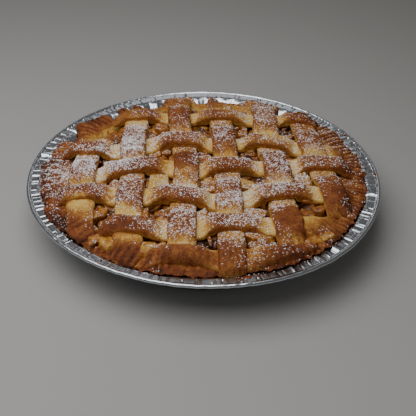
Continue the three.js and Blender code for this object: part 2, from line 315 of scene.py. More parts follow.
def turned(profile, steps, longest):
    """A bmesh turned about +Z from [radius, height] points that start and end on the axis.

    No part of the profile is left longer than its length in longest.
    """
    outline = [profile[0]]
    for (r0, z0), (r1, z1), limit in zip(profile, profile[1:], longest):
        cuts = math.ceil(math.hypot(r1 - r0, z1 - z0) / limit)
        outline += [(lerp(r0, r1, k / cuts), lerp(z0, z1, k / cuts)) for k in range(1, cuts + 1)]
    bm = bmesh.new()
    bmesh.ops.create_grid(bm, x_segments=steps, y_segments=len(outline) - 1, size=1)
    for vert in bm.verts:
        radius, height = outline[round((vert.co.y + 1) / 2 * (len(outline) - 1))]
        turn = math.pi * (vert.co.x + 1)
        vert.co = radius * math.cos(turn), radius * math.sin(turn), height
    bmesh.ops.remove_doubles(bm, verts=bm.verts, dist=1e-3)
    bmesh.ops.recalc_face_normals(bm, faces=bm.faces)
    return bm


def random_from(seed):
    """Repeatable random numbers from 0 to 1, without end."""
    factor, step, span = 1664525, 1013904223, 2 ** 32
    state = seed
    while True:
        state = (state * factor + step) % span
        yield state / span


# ---- the plan of the lattice ----

# "along" strips run front to back, their centre line is x at a given y.
# "across" strips run left to right, their centre line is y at a given x.
ALONG = [
    dict(width=18, ends=(-79, 20), at=(-79, -60, -30, 0, 20), line=(-75.5, -78, -81, -82, -82)),
    dict(width=18, ends=(-104, 86), at=(-104, -61, -24, 16, 53, 86), line=(-45, -47, -48.5, -50.5, -51, -53)),
    dict(width=17.5, ends=(-104, 104), at=(-104, -84, -54, -9, 21, 56, 104),
         line=(-13, -13, -13, -12, -14.5, -19, -20.5)),
    dict(width=17.5, ends=(-113.5, 96), at=(-113.5, -84, -24, 11, 56, 96), line=(17.5, 17, 16, 15, 13, 12.5)),
    dict(width=19, ends=(-98, 94), at=(-98, -74, -54, -4, 21, 60, 94), line=(54.5, 53, 51, 50, 47, 46, 45.5)),
    dict(width=18, ends=(-56, 68), at=(-56, -40, -10, 20, 50, 68), line=(88, 86, 82, 77.5, 75, 74)),
]
ACROSS = [
    dict(width=16, ends=(-69, 87), at=(-69, -35, 0, 33, 60, 87), line=(61, 63.5, 63.5, 63, 62, 58)),
    dict(width=18, ends=(-103, 100), at=(-103, -68, -34, 0, 29, 62, 100),
         line=(16, 14, 25.5, 24, 25.5, 22, 18)),
    dict(width=18, ends=(-98, 106), at=(-98, -65, -30, 2, 25, 70, 106), line=(-18, -15, -7, -10, -7, -4, -3)),
    dict(width=18, ends=(-101, 104), at=(-101, -64, -30, 2, 33, 69, 104),
         line=(-42, -40, -41.5, -46, -42.5, -36, -33)),
    dict(width=18, ends=(-65.8, 88), at=(-65.8, -50, -30, 2, 35, 70, 88),
         line=(-72, -74.5, -76.5, -73.5, -71.5, -68.5, -66)),
    dict(width=15, ends=(-35.3, 71), at=(-35.3, -13, 5, 35, 54, 71), line=(-98, -99.5, -101, -99.5, -96, -87),
         taper=30),
]
for number, plan in enumerate(ALONG):
    plan.update(name=f"strip_along_{number + 1}", number=number, along=True)
for number, plan in enumerate(ACROSS):
    plan.update(name=f"strip_across_{number + 1}", number=number, along=False)


def centre_line(plan, t):
    """The smooth centre line of a strip at distances t, with slopes taken from the neighbouring points."""
    at, line = np.array(plan["at"], float), np.array(plan["line"], float)
    t = np.clip(np.asarray(t, float), at[0], at[-1])
    i = np.clip(np.searchsorted(at, t, side="right"), 1, len(at) - 1)
    before, after = np.maximum(i - 2, 0), np.minimum(i + 1, len(at) - 1)
    before, after = np.where(i == 1, i, before), np.where(i == len(at) - 1, i - 1, after)
    t_before, t_after = at[before], at[after]
    t0, t1 = at[i - 1], at[i]
    half = (t1 - t0) / 2
    w_before, w_after = half / (t0 - t_before), half / (t_after - t1)
    p = (t - t0) / (t1 - t0)
    s_before = -w_before * p ** 3 + 2 * w_before * p ** 2 - w_before * p
    s0 = (1 + w_before) * p ** 3 + (-1.5 - 2 * w_before) * p ** 2 + (-0.5 + w_before) * p + 1
    s1 = (-1 - w_after) * p ** 3 + (1.5 + w_after) * p ** 2 + 0.5 * p
    s_after = w_after * p ** 3 - w_after * p ** 2
    return s_before * line[before] + s0 * line[i - 1] + s1 * line[i] + s_after * line[after]


def slope_of(plan, t):
    return (centre_line(plan, np.asarray(t) + 1) - centre_line(plan, np.asarray(t) - 1)) / 2


def crossings_on(plan):
    """The crossings on a strip in order: place along it, reach to each side, level 1 over or 0
    under, and the other strip."""
    rounds, slack = 25, 1.2
    start, end = plan["ends"]
    found = []
    for other in ACROSS if plan["along"] else ALONG:
        own_at = 0.0
        # Each round comes closer to where the two centre lines cross.
        for _ in range(rounds):
            other_at = float(centre_line(plan, own_at))
            own_at = float(centre_line(other, other_at))
        other_start, other_end = other["ends"]
        if not start < own_at < end or not other_start < other_at < other_end:
            continue
        skew = abs(float(slope_of(other, other_at))) + abs(float(slope_of(plan, own_at)))
        reach = other["width"] / 2 * (1 + skew * skew / 2) + plan["width"] / 2 * skew + slack
        same_phase = plan["number"] % 2 == other["number"] % 2
        found.append((own_at, reach, 1 if same_phase == plan["along"] else 0, other))
    return sorted(found, key=lambda crossing: crossing[0])


def levels_along(plan, landing):
    """The level of a strip, 1 over and 0 under, on a fine table of places along it."""
    step, blur, margin = 0.25, 1.6, 24
    start, end = plan["ends"]
    crossings = crossings_on(plan)
    rises_from = crossings[0][0] - crossings[0][1] - landing
    lands_at = crossings[-1][0] + crossings[-1][1] + landing
    marks = [(start, 0)]
    if rises_from > start + 1:
        marks.append((rises_from, 0))
    for at, reach, level, _ in crossings:
        marks += [(max(at - reach, start + 1), level), (min(at + reach, end - 1), level)]
    if lands_at < end - 1:
        marks.append((lands_at, 0))
    marks.append((end, 0))
    table = np.arange(start, end + step, step)
    places, heights = np.array(marks, float).T
    i = np.clip(np.searchsorted(places, table, side="right"), 1, len(places) - 1)
    p = smoothstep((table - places[i - 1]) / np.maximum(places[i] - places[i - 1], 0.01), 0, 1)
    level = lerp(heights[i - 1], heights[i], p)
    # Dough has no sharp bends, so the levels are blurred.
    kernel = np.exp(-(np.arange(-margin, margin + 1) * step / blur) ** 2 / 2)
    padded = np.pad(level, margin, mode="edge")
    return table, np.convolve(padded, kernel / kernel.sum(), mode="valid")


# ---- the shape of the baked rim ----

# Where the foil's rim is bent out of round, and where the crimped edge stands out or has
# shrunk back and sunk: direction from +X, half width, amount.
RIM_BENDS = [(-122, 26, -2.1), (-55, 26, 2.1), (-77, 33, -1.9)]
EDGE_BUMPS = [
    (46, 4, 4), (147, 2.4, 5), (-150, 3, 2), (-60, 14, 1.2), (177, 2, 2.5),
    (29, 4, 1.8), (-102, 2.5, 2), (-115, 15, -1.8), (-87, 16, -1.3),
    (53.5, 3.5, -8), (79, 6, -5.5), (91.5, 3, -8.5), (113, 5.5, -9),
    (131.5, 3, -7), (156, 4.5, -6), (173, 3, -2.5), (123.5, 2.5, -3),
    (20, 2, -1.5), (-130, 3, -1.5), (36, 2.5, -1),
]
SUNK_PER_SHRUNK = 0.55
# The fork: its tines, the gap it leaves between presses, and the share of the full depth that its
# marks have where FORKED says nothing.
TINES = 4
PRESS_GAP = 0.6
FORKED_ELSEWHERE = 0.3
# How deep the fork marks are by direction: from, to, share of the full depth.
FORKED = [(117, 150, 1.0), (70, 90, 0.9), (-60, 30, 1.0), (-130, -100, 0.8), (30, 66, 0.9), (150, 230, 0.55)]
# Radius of the ring that the tears of the edge are laid out on.
TORN_RADIUS = 112


def rim_top(radius, crust):
    past = np.maximum(0, radius - crust.crest_radius) / (crust.edge_radius - crust.crest_radius)
    return crust.crest_height - (crust.crest_height - crust.edge_height) * past ** 2


def fork_marks(points, crust):
    """Depth of the fork marks on the rim, at points in plan. Each press of the fork leaves a mark
    for each tine, a little askew."""
    direction, radius = degrees_round(points), np.hypot(points[:, 0], points[:, 1])
    random = np.random.default_rng(5)
    depth = np.zeros(len(points))
    press = TINES * crust.tine_spacing + PRESS_GAP
    presses = int(2 * math.pi * crust.crest_radius / press)
    per_mm = math.degrees(1 / crust.crest_radius)
    for k in range(presses):
        middle = -180 + 360 * k / presses + random.uniform(-1, 1)
        skew = math.tan(math.radians(random.uniform(-9, 9)))
        start = random.uniform(94, 98)
        strength = random.uniform(0.6, 1.1)
        aside = turn_between(direction, middle) / per_mm * radius / crust.crest_radius
        near = np.abs(aside) < press
        sideways = aside[near] + (radius[near] - crust.crest_radius) * skew
        marks = np.zeros(near.sum())
        for tine in range(TINES):
            offset = (tine - (TINES - 1) / 2) * crust.tine_spacing + random.uniform(-0.4, 0.4)
            width = random.uniform(0.85, 1.15)
            marks = np.maximum(marks, np.exp(-((sideways - offset) / width) ** 2))
        marks = strength * marks * smoothstep(radius[near], start - 2, start + 3)
        depth[near] = np.maximum(depth[near], marks)
    shares = np.full(len(points), FORKED_ELSEWHERE)
    for low, high, share in FORKED:
        middle, half = (low + high) / 2, (high - low) / 2
        away = np.abs(turn_between(direction, middle))
        shares = np.maximum(shares, share * (1 - smoothstep(away, half - 2, half + 3)))
    return depth * shares * crust.fork_depth


def torn_edge(points):
    """How far the crumbly outer edge of the rim stands out or in, by direction."""
    ring = on_ring(degrees_round(points), TORN_RADIUS)
    return 0.8 * rough(ring, 7, 31) + 1.0 * rough(ring, 2.6, 32) + 0.6 * rough(ring, 1.2, 33)


# ---- materials ----

def add_node(tree, kind, inputs=None, stops=None, **settings):
    """Adds a node with its settings, its inputs as values or links, and any colour stops."""
    node = tree.nodes.new(kind)
    for name, value in settings.items():
        setattr(node, name, value)
    if stops:
        elements = node.color_ramp.elements
        while len(elements) < len(stops):
            elements.new(1.0)
        for element, (position, stop_colour) in zip(elements, stops):
            element.position, element.color = position, stop_colour
    for name, value in (inputs or {}).items():
        if isinstance(value, bpy.types.NodeSocket):
            tree.links.new(value, node.inputs[name])
        else:
            node.inputs[name].default_value = value
    return node


def new_material(name):
    """A material whose tree holds only its output, and that tree."""
    material = bpy.data.materials.new(name)
    material.use_nodes = True
    material.node_tree.nodes.clear()
    return material, material.node_tree


def finish_material(tree, shader):
    add_node(tree, "ShaderNodeOutputMaterial", {"Surface": shader.outputs[0]})


def baked_pastry():
    """Short pastry, egg washed and baked: pale and matt where it was sheltered, golden to deep
    brown and slightly glazed where the heat reached it, with painted shade in its fork marks and on front
    faces."""
    crust = bpy.context.scene.pie_crust
    material, tree = new_material("baked_short_pastry")
    place = add_node(tree, "ShaderNodeTexCoord").outputs["Object"]
    browning = add_node(tree, "ShaderNodeAttribute", attribute_name="browning").outputs["Fac"]
    # Blotches of uneven baking, about 6 mm apart, and fine freckles of 1.4 mm.
    blotches = add_node(tree, "ShaderNodeTexNoise", {
        "Vector": place, "Scale": 1 / 0.006, "Detail": 4.0, "Roughness": 0.6})
    freckles = add_node(tree, "ShaderNodeTexNoise", {"Vector": place, "Scale": 1 / 0.0014, "Detail": 2.0})
    uneven = add_node(tree, "ShaderNodeMath", {0: blotches.outputs["Fac"], 1: 0.56, 2: -0.28},
                      operation="MULTIPLY_ADD")
    speckled = add_node(tree, "ShaderNodeMath", {0: freckles.outputs["Fac"], 1: 0.6, 2: -0.3},
                        operation="MULTIPLY_ADD")
    tone = add_node(tree, "ShaderNodeMath", {0: browning, 1: uneven.outputs[0]}, operation="ADD")
    tone = add_node(tree, "ShaderNodeMath", {0: tone.outputs[0], 1: speckled.outputs[0]},
                    operation="ADD", use_clamp=True)
    baked = add_node(tree, "ShaderNodeValToRGB", {"Fac": tone.outputs[0]}, stops=[
        (0.0, crust.pale), (0.18, crust.yellow), (0.34, crust.golden), (0.5, crust.baked),
        (0.66, crust.brown), (0.82, crust.dark), (1.0, crust.burnt)])
    # The short crumb of the surface, about 2 mm wide.
    crumb = add_node(tree, "ShaderNodeTexNoise", {
        "Vector": place, "Scale": 1 / 0.002, "Detail": 5.0, "Roughness": 0.65})
    bump = add_node(tree, "ShaderNodeBump", {
        "Height": crumb.outputs["Fac"], "Strength": 0.8, "Distance": 1.0 * MM})
    glaze = add_node(tree, "ShaderNodeMapRange", {
        "Value": tone.outputs[0], "From Min": 0.3, "From Max": 0.7, "To Min": 0.8, "To Max": 0.6})
    shader = add_node(tree, "ShaderNodeBsdfPrincipled", {
        "Base Color": baked.outputs["Color"], "Roughness": glaze.outputs[0], "IOR": 1.45,
        "Specular IOR Level": 0.25, "Normal": bump.outputs["Normal"], "Subsurface Weight": 0.08,
        "Subsurface Radius": (1.0, 0.5, 0.2), "Subsurface Scale": 1.2 * MM})
    finish_material(tree, shader)
    return material


def rolled_foil():
    """Bright rolled aluminium foil, pressed into a pan: a mirror, blurred by the rolling and by
    fine scuffs, with shallow dents where it was handled."""
    material, tree = new_material("pressed_aluminium_foil")
    place = add_node(tree, "ShaderNodeTexCoord").outputs["Object"]
    # Scuffs about 3 mm apart, and dents about 12 mm apart.
    scuffs = add_node(tree, "ShaderNodeTexNoise", {
        "Vector": place, "Scale": 1 / 0.003, "Detail": 4.0, "Roughness": 0.7})
    blur = add_node(tree, "ShaderNodeMapRange", {
        "Value": scuffs.outputs["Fac"], "From Min": 0.3, "From Max": 0.7, "To Min": 0.16, "To Max": 0.28})
    dents = add_node(tree, "ShaderNodeTexNoise", {"Vector": place, "Scale": 1 / 0.012, "Detail": 1.0})
    bump = add_node(tree, "ShaderNodeBump", {
        "Height": dents.outputs["Fac"], "Strength": 0.3, "Distance": 0.6 * MM})
    shader = add_node(tree, "ShaderNodeBsdfPrincipled", {
        "Base Color": bpy.context.scene.pie_dish.metal, "Metallic": 1.0, "Roughness": blur.outputs[0],
        "Normal": bump.outputs["Normal"]})
    finish_material(tree, shader)
    return material


def cooked_apple():
    """Apple cooked soft in syrup, translucent, pale to amber, wet and glossy with juice; its tone holds
    painted shade.
    """
    filling = bpy.context.scene.pie_filling
    material, tree = new_material("cooked_apple")
    place = add_node(tree, "ShaderNodeTexCoord").outputs["Object"]
    tone = add_node(tree, "ShaderNodeAttribute", attribute_name="browning").outputs["Fac"]
    # Streaks of syrup in the flesh, about 3.5 mm apart.
    flesh = add_node(tree, "ShaderNodeTexNoise", {
        "Vector": place, "Scale": 1 / 0.0035, "Detail": 4.0, "Roughness": 0.65})
    uneven = add_node(tree, "ShaderNodeMath", {0: flesh.outputs["Fac"], 1: 1.3, 2: -0.58},
                      operation="MULTIPLY_ADD")
    tone = add_node(tree, "ShaderNodeMath", {0: tone, 1: uneven.outputs[0]}, operation="ADD", use_clamp=True)
    colours = add_node(tree, "ShaderNodeValToRGB", {"Fac": tone.outputs[0]}, stops=[
        (0.1, filling.flesh), (0.45, filling.soaked), (0.85, filling.syrup)])
    # The grain of the flesh, about 2 mm wide.
    grain = add_node(tree, "ShaderNodeTexNoise", {"Vector": place, "Scale": 1 / 0.002, "Detail": 4.0})
    bump = add_node(tree, "ShaderNodeBump", {
        "Height": grain.outputs["Fac"], "Strength": 0.8, "Distance": 1.0 * MM})
    shader = add_node(tree, "ShaderNodeBsdfPrincipled", {
        "Base Color": colours.outputs["Color"], "Roughness": 0.42, "IOR": 1.4,
        "Normal": bump.outputs["Normal"], "Subsurface Weight": 0.15,
        "Subsurface Radius": (1.0, 0.55, 0.18), "Subsurface Scale": 2 * MM,
        "Coat Weight": 0.2, "Coat Roughness": 0.2})
    finish_material(tree, shader)
    return material


def powdered_sugar():
    """Icing sugar in small clumps: pure white and matt, a little duller where it is damp."""
    sugar = bpy.context.scene.pie_sugar
    material, tree = new_material("powdered_sugar")
    place = add_node(tree, "ShaderNodeTexCoord").outputs["Object"]
    damp = add_node(tree, "ShaderNodeTexNoise", {"Vector": place, "Scale": 1 / 0.012, "Detail": 2.0})
    colours = add_node(tree, "ShaderNodeValToRGB", {"Fac": damp.outputs["Fac"]},
                       stops=[(0.35, sugar.damp), (0.55, sugar.white)])
    shader = add_node(tree, "ShaderNodeBsdfPrincipled", {
        "Base Color": colours.outputs["Color"], "Roughness": 0.5, "IOR": 1.55})
    finish_material(tree, shader)
    return material


def dried_juice():
    """Apple juice that boiled over and dried on the foil: dark orange, thin and glossy like caramel."""
    material, tree = new_material("dried_apple_juice")
    place = add_node(tree, "ShaderNodeTexCoord").outputs["Object"]
    burnt = add_node(tree, "ShaderNodeTexNoise", {"Vector": place, "Scale": 1 / 0.002, "Detail": 2.0})
    colours = add_node(tree, "ShaderNodeValToRGB", {"Fac": burnt.outputs["Fac"]}, stops=[
        (0.35, bpy.context.scene.pie_filling.syrup), (0.65, bpy.context.scene.pie_crumbs.juice)])
    shader = add_node(tree, "ShaderNodeBsdfPrincipled", {
        "Base Color": colours.outputs["Color"], "Roughness": 0.25, "IOR": 1.45, "Coat Weight": 0.3})
    finish_material(tree, shader)
    return material


def material_named(name, make):
    """The material of that name, made the first time it is asked for."""
    return bpy.data.materials.get(name) or make()


# ---- foil dish ----

# Where the flange is pleated hard: direction from +X, half width, share of the full height.
PLEATED = [(168, 34, 1.5), (-8, 42, 1.1), (-55, 22, 0.6), (60, 18, -0.1), (100, 44, -0.1)]
# Radius of the middle of the flange, where its pleats and creases are laid out.
FLANGE_MIDDLE = 116


def foil_dish_mesh(dish):
    foil, bead = dish.foil, dish.rim_radius - dish.bead_radius
    top = dish.flange_height
    profile = [(0, 0), (dish.base_radius - 1.2, 0), (dish.base_radius + 0.6, 0.9),
               (dish.flange_inner - 0.5, top - foil - 1.0), (dish.flange_inner + 0.8, top - foil),
               (bead - dish.bead_radius - 0.2, top - foil + 0.2)]
    profile += [(bead + dish.bead_radius * math.cos(a), dish.rim_height + dish.bead_radius * math.sin(a))
                for a in np.radians(np.linspace(-150, 165, 12))]
    profile += [(dish.flange_inner + 1.0, top), (dish.flange_inner - 1.2, top - 0.9),
                (dish.base_radius - 0.2, 1.5), (dish.base_radius - 1.6, foil), (0, foil)]
    longest = [40, 3, 5, 2, 1.1] + [1] * 12 + [1.1, 2, 5, 3, 40]
    mesh = to_mesh(turned(profile, dish.steps, longest), "foil_dish")
    points = get_points(mesh)
    radius, direction = np.hypot(points[:, 0], points[:, 1]), degrees_round(points)
    outwards = points[:, :2] / np.maximum(radius, 1)[:, None]
    # Flutes on the side, with crisp ridges, and irregular pleats that run out over the flange.
    phase = direction / 360 * dish.flutes
    wave = 1 - 4 * np.abs(phase - np.round(phase))
    on_side = smoothstep(radius, dish.base_radius - 0.5, dish.base_radius + 4)
    on_side *= 1 - smoothstep(radius, dish.flange_inner - 1, dish.flange_inner + 2)
    deeper = lerp(0.35, 1, smoothstep(radius, dish.base_radius, dish.flange_inner))
    push = np.sign(wave) * np.abs(wave) ** 1.3 * dish.flute_depth * on_side * deeper
    push += bumps_at(direction, RIM_BENDS, 2) * smoothstep(radius, dish.flange_inner, bead - dish.bead_radius)
    ring = on_ring(direction, FLANGE_MIDDLE)
    pleated = 0.25 + bumps_at(direction, PLEATED, 4)
    # The flange falls a little towards the bead.
    across = np.clip((radius - dish.flange_inner) / (bead - dish.flange_inner), 0, 1)
    fall = 0.6 * smoothstep(across, 0, 0.24) * (1 - across)
    lift = fall + 0.42 * pleated * rough(ring, 2.6, 3) + 0.25 * rough(ring, 14, 4)
    random = np.random.default_rng(8)
    for k in range(dish.creases):
        middle, width = 360 * k / dish.creases + random.uniform(-1.2, 1.2), random.uniform(0.4, 0.65)
        # The creases at the back are softer.
        softened = 1 - 0.6 * math.exp(-(turn_between(middle, 95) / 52) ** 4)
        height = random.choice([-1, 1]) * random.uniform(0.3, 0.75) * softened
        slant = random.uniform(-0.12, 0.12)
        reach = random.uniform(0.4, 1.1)
        aside = np.radians(turn_between(direction, middle)) * radius + (radius - FLANGE_MIDDLE) * slant
        begun = smoothstep(radius, 120 - 10 * reach, 122 - 10 * reach)
        lift += height * np.exp(-(aside / width) ** 2) * begun
    on_flange = smoothstep(radius, dish.flange_inner - 2, dish.flange_inner + 1.5)
    on_flange *= 1 - smoothstep(radius, bead - 1.6, bead - 0.6)
    points[:, 2] += lift * on_flange
    # The bead is pinched a little by the pleats.
    on_bead = smoothstep(radius, bead - 1.5, bead)
    points[:, 2] += on_bead * 0.18 * rough(ring, 3.5, 5)
    push += on_bead * 0.15 * rough(ring, 2.2, 6)
    points[:, :2] += outwards * push[:, None]
    set_points(mesh, points)
    return mesh


class PIE_OT_foil_dish(bpy.types.Operator):
    """Presses the foil dish"""
    bl_idname = "pie.foil_dish"
    bl_label = "Foil dish"

    def execute(self, context):
        mesh = foil_dish_mesh(in_mm(context.scene.pie_dish))
        foil = material_named("pressed_aluminium_foil", rolled_foil)
        add_piece("foil_pan", mesh, [foil], "foil_dish")
        return {"FINISHED"}


# ---- pastry shell ----

# Where the rim is baked darker (+) or paler (-): x, y, radius, amount.
RIM_TONES = [
    (-92, -63, 14, 0.42), (-82, -76, 12, 0.4), (-104, -25, 14, 0.3), (-108, 5, 14, 0.3), (-62, -95, 14, 0.16),
    (-84, 68, 16, 0.2), (-50, 92, 14, 0.16), (104, 0, 34, 0.12), (-75, 35, 9, -0.1), (-66, 54, 8, -0.25),
    (-90, 22, 10, -0.12), (-5, 76, 12, -0.3), (28, 74, 10, -0.3), (60, 68, 8, -0.2), (70, -84, 9, -0.15),
    (-20, -112, 14, 0.2), (10, -113, 14, 0.2), (42, -105, 14, 0.2), (78, -82, 10, 0.15),
]
# The pastry stands clear of the flutes, its floor and wall have these thicknesses, and the filling
# lies a gap inside it.
CLEARANCE = 1.5 + 0.55
SHELL_BOTTOM = 1.0
SHELL_FLOOR, SHELL_WALL = 4, 4.6
GAP = 0.3
# Height above which the points of the shell belong to its rim.
RIM_FROM = 25


def shell_mesh(dish, crust, filling):
    base = dish.base_radius - CLEARANCE
    side_top = dish.flange_inner - 1.5 - CLEARANCE
    bottom, floor = SHELL_BOTTOM, SHELL_BOTTOM + SHELL_FLOOR
    inner, edge = crust.rim_inner, crust.edge_radius
    profile = [(0, bottom), (base - 1, bottom), (base + 0.4, bottom + 1.4),
               (side_top, dish.flange_height - 1.2), (edge - 3.4, crust.edge_underside - 0.1),
               (edge - 0.6, crust.edge_underside), (edge, (crust.edge_height + crust.edge_underside) / 2),
               (edge - 0.5, crust.edge_height),
               (crust.crest_radius + 2, float(rim_top(crust.crest_radius + 2, crust))),
               (crust.crest_radius - 5, crust.crest_height), (inner + 1.5, crust.crest_height - 0.7),
               (inner - 0.5, crust.crest_height - 2.4),
               (filling.top_radius + 0.5, filling.side_height + 0.4), (base - SHELL_WALL, floor), (0, floor)]
    longest = [40, 2, 8, 2, 1, 0.6, 0.6, 0.8, 0.8, 0.8, 0.8, 1.0, 8, 40]
    mesh = to_mesh(turned(profile, crust.steps, longest), "pastry_shell")
    points = get_points(mesh)
    radius, direction = np.hypot(points[:, 0], points[:, 1]), degrees_round(points)
    outwards = points[:, :2] / np.maximum(radius, 1)[:, None]
    high = points[:, 2] > RIM_FROM
    on_rim = smoothstep(radius, inner, edge - 2) * high
    is_top = smoothstep(points[:, 2], crust.edge_underside + 0.1, crust.edge_height)
    is_top = is_top * (radius > inner + 0.5) * high
    shift = bumps_at(direction, EDGE_BUMPS, 4) * on_rim
    over_flange = smoothstep(radius, edge - 5, edge - 1) * high
    push = np.where(shift > 0, shift * over_flange, shift) + torn_edge(points) * over_flange
    points[:, 2] += np.minimum(0, shift) * SUNK_PER_SHRUNK
    # Raised a little above the flange on the right front, where a dark gap shows.
    points[:, 2] += over_flange * 0.9 * np.exp(-(turn_between(direction, -50) / 30) ** 4)
    points[:, 2] -= fork_marks(points, crust) * is_top
    lumps = 0.55 * rough(points, 13, 41) + 0.4 * rough(points, 5, 42)
    crumbly = np.exp(-(turn_between(direction, -158) / 44) ** 4)
    knobs = (1.1 * rough(points, 4.2, 43) + 0.9 * rough(points, 2.2, 48)) * crumbly
    points[:, 2] += (lumps + knobs) * is_top
    points[:, :2] += outwards * push[:, None]
    set_points(mesh, points)
    fine = (0.18 + 0.2 * crumbly) * rough(points, 1.6, 44) + 0.14 * rough(points, 0.9, 45)
    points += get_normals(mesh) * (fine * on_rim)[:, None]
    set_points(mesh, points)
    painted_groove_shade = fork_marks(points, crust) / crust.fork_depth
    # Parts that the heat reached are browner: the rim, most of all its edge. The bottoms of the fork marks
    # are darker as painted shade in the grooves.
    near_edge = smoothstep(radius, 104, 113)
    risen = smoothstep(points[:, 2], 27, 31) * smoothstep(radius, 92, 99)
    browning = 0.1 + 0.34 * risen + 0.16 * near_edge + 0.4 * (painted_groove_shade - 0.2) * is_top
    browning += 0.1 * rough(points, 9, 46) + 0.07 * rough(points, 3, 47) + spots_at(points, RIM_TONES)
    # The underside of the edge is evenly brown.
    outer = smoothstep(radius, 100, 106)
    browning = np.where(points[:, 2] < crust.edge_underside + 0.3, lerp(browning, 0.62, outer), browning)
    set_values(mesh, "browning", np.clip(browning, 0, 1))
    return mesh


class PIE_OT_shell(bpy.types.Operator):
    """Lines the dish with pastry and crimps its rim with a fork"""
    bl_idname = "pie.shell"
    bl_label = "Pastry shell"

    def execute(self, context):
        scene = context.scene
        mesh = shell_mesh(in_mm(scene.pie_dish), in_mm(scene.pie_crust), in_mm(scene.pie_filling))
        pastry = material_named("baked_short_pastry", baked_pastry)
        add_piece("crimped_shell", mesh, [pastry], "pastry_shell")
        return {"FINISHED"}


# ---- lattice ----

# Where the sugar fell thickly (+) or missed (-): x, y, radius x, radius y, amount.
SUGAR_SPOTS = [
    (-66, -4, 15, 15, 0.8), (-82, -8, 14, 24, 0.65), (-50, 18, 12, 30, 0.5), (-50, -24, 10, 14, 0.3),
    (-105, -6, 10, 22, 0.35), (-36, 41, 9, 8, 0.15), (-15, -33, 14, 9, 0.4), (-13, -58, 9, 16, 0.4),
    (18, -56, 30, 16, 0.5), (33, -33, 13, 11, 0.5), (50, -18, 10, 22, 0.3), (46, 56, 11, 14, 0.25),
    (50, 24, 9, 9, 0.1), (36, 38, 9, 5, 0.3), (0, -28, 12, 8, 0.2),
    (15, 38, 9, 20, 0.1), (15, -22, 9, 12, 0.2), (67, -14, 9, 10, 0.2), (-72, 22, 12, 8, 0.15),
    (-28, 0, 11, 9, -0.32), (-14, 8, 8, 8, -0.15), (-82, 58, 24, 26, -0.6), (-50, 80, 24, 16, -0.45),
    (0, 92, 44, 13, -0.35),
    (-10, -102, 20, 9, -0.35), (-48, -97, 14, 11, -0.6), (78, -62, 20, 18, -0.3), (92, -36, 14, 16, -0.25),
    (14, -94, 9, 12, -0.12), (-14, -14, 8, 6, -0.15), (-14, 62, 9, 9, -0.1), (15, 4, 8, 8, -0.1),
    (53, -68, 10, 15, -0.45), (-80, -52, 12, 11, -0.25), (-76, -78, 22, 15, -0.4), (55, -97, 26, 8, -0.15),
    (-8, -84, 14, 6, 0.2), (-100, 0, 9, 30, 0.2), (-88, 8, 12, 14, 0.3), (-60, 8, 12, 8, 0.4),
    (35, 8, 8, 12, 0.15), (100, 10, 9, 40, -0.15), (75, 55, 14, 16, -0.1), (46, 34, 8, 9, -0.5),
    (18, -65, 9, 6, -0.4), (-14, -46, 12, 5, -0.4), (-98, 20, 9, 10, -0.55), (-84, 20, 9, 8, -0.3),
    (-33, -66, 7, 5, -0.4), (16, -104, 9, 9, -0.15), (-6, -113, 28, 5, -0.4),
    (-53, -60, 9, 6, -0.1), (34, -18, 9, 5, -0.4), (-64, -54, 7, 8, -0.2), (-30, -57, 8, 6, -0.3),
]
# Where the strips are coloured darker (+) or paler (-): x, y, radius x, radius y, amount.
STRIP_TONES = [
    (-45, -99, 11, 9, 0.22), (-48, -84, 12, 4.5, -0.4), (-82, -70, 12, 8, 0.14), (52, -62, 9, 16, 0.05),
    (-98, -28, 8, 32, 0.14), (-52, -81, 15, 5, 0.16), (98, -10, 10, 40, 0.08),
    (-52, 54, 9, 8, -0.25), (-33, 42, 10, 8, -0.12), (17, 66, 8, 8, -0.2), (28, 65, 8, 8, -0.15),
    (46, 55, 10, 14, -0.2), (48, 28, 10, 11, -0.35), (-81, -50, 10, 10, -0.3), (-65, 20, 8, 10, -0.15),
    (-76, 34, 9, 7, -0.2), (62, 28, 7, 10, -0.2), (75, 20, 9, 9, -0.15), (33, -34, 11, 10, -0.22),
    (3, -38, 7, 12, -0.18), (70, -14, 8, 10, -0.1), (55, -66, 9, 12, 0.08), (75, -62, 12, 12, -0.02),
    (-14, 0, 8, 10, 0.08), (50, 8, 10, 9, 0.1), (15, 30, 8, 8, 0.06), (33, -94, 8, 8, -0.22),
    (55, -84, 8, 4, -0.2), (4, -96, 6, 8, -0.1), (38, -94, 6, 6, -0.15), (61, -87, 8, 5, -0.2),
    (-53, -60, 8, 6, -0.4), (-14, -21, 8, 7, -0.4), (16, -104, 10, 12, -0.14), (-62, -40, 14, 7, 0.1),
]


def sugar_cover(points):
    """How thickly sugar lies at points in plan: 1 leaves little dough bare, above 1 the gaps fill up too."""
    flat = points[:, :2]
    usual, thickest = 0.23, 1.6
    cover = usual + 0.85 * spots_at(points, SUGAR_SPOTS)
    cover = cover + 0.12 * rough(flat, 16, 51) + 0.1 * rough(flat, 6, 52)
    past_rim = smoothstep(np.hypot(flat[:, 0], flat[:, 1]), 106, 117)
    return np.clip(cover * (1 - 0.9 * past_rim), 0, thickest)


def strip_section(sides):
    """A flat section with rounded shoulders: shares of the half width and of the thickness, evenly
    spaced round it."""
    samples, half_width, thickness = 2001, 9, 5
    turn = np.linspace(0, 2 * math.pi, samples)
    side = np.sign(np.cos(turn)) * np.abs(np.cos(turn)) ** 0.36
    up = 0.5 + 0.5 * np.sign(np.sin(turn)) * np.abs(np.sin(turn)) ** 0.58
    # The sides lean in below, where the strip lies, and at the shoulders.
    side *= lerp(0.95, 1, smoothstep(up, 0, 0.35)) * lerp(1, 0.97, smoothstep(up, 0.5, 1))
    paces = np.hypot(np.diff(side * half_width), np.diff(up * thickness))
    walk = np.concatenate([[0], np.cumsum(paces)])
    even = np.linspace(0, walk[-1], sides, endpoint=False)
    return np.interp(even, walk, side), np.interp(even, walk, up)


# Length over which the ends of a strip round off.
END_ROUNDING = 2.5
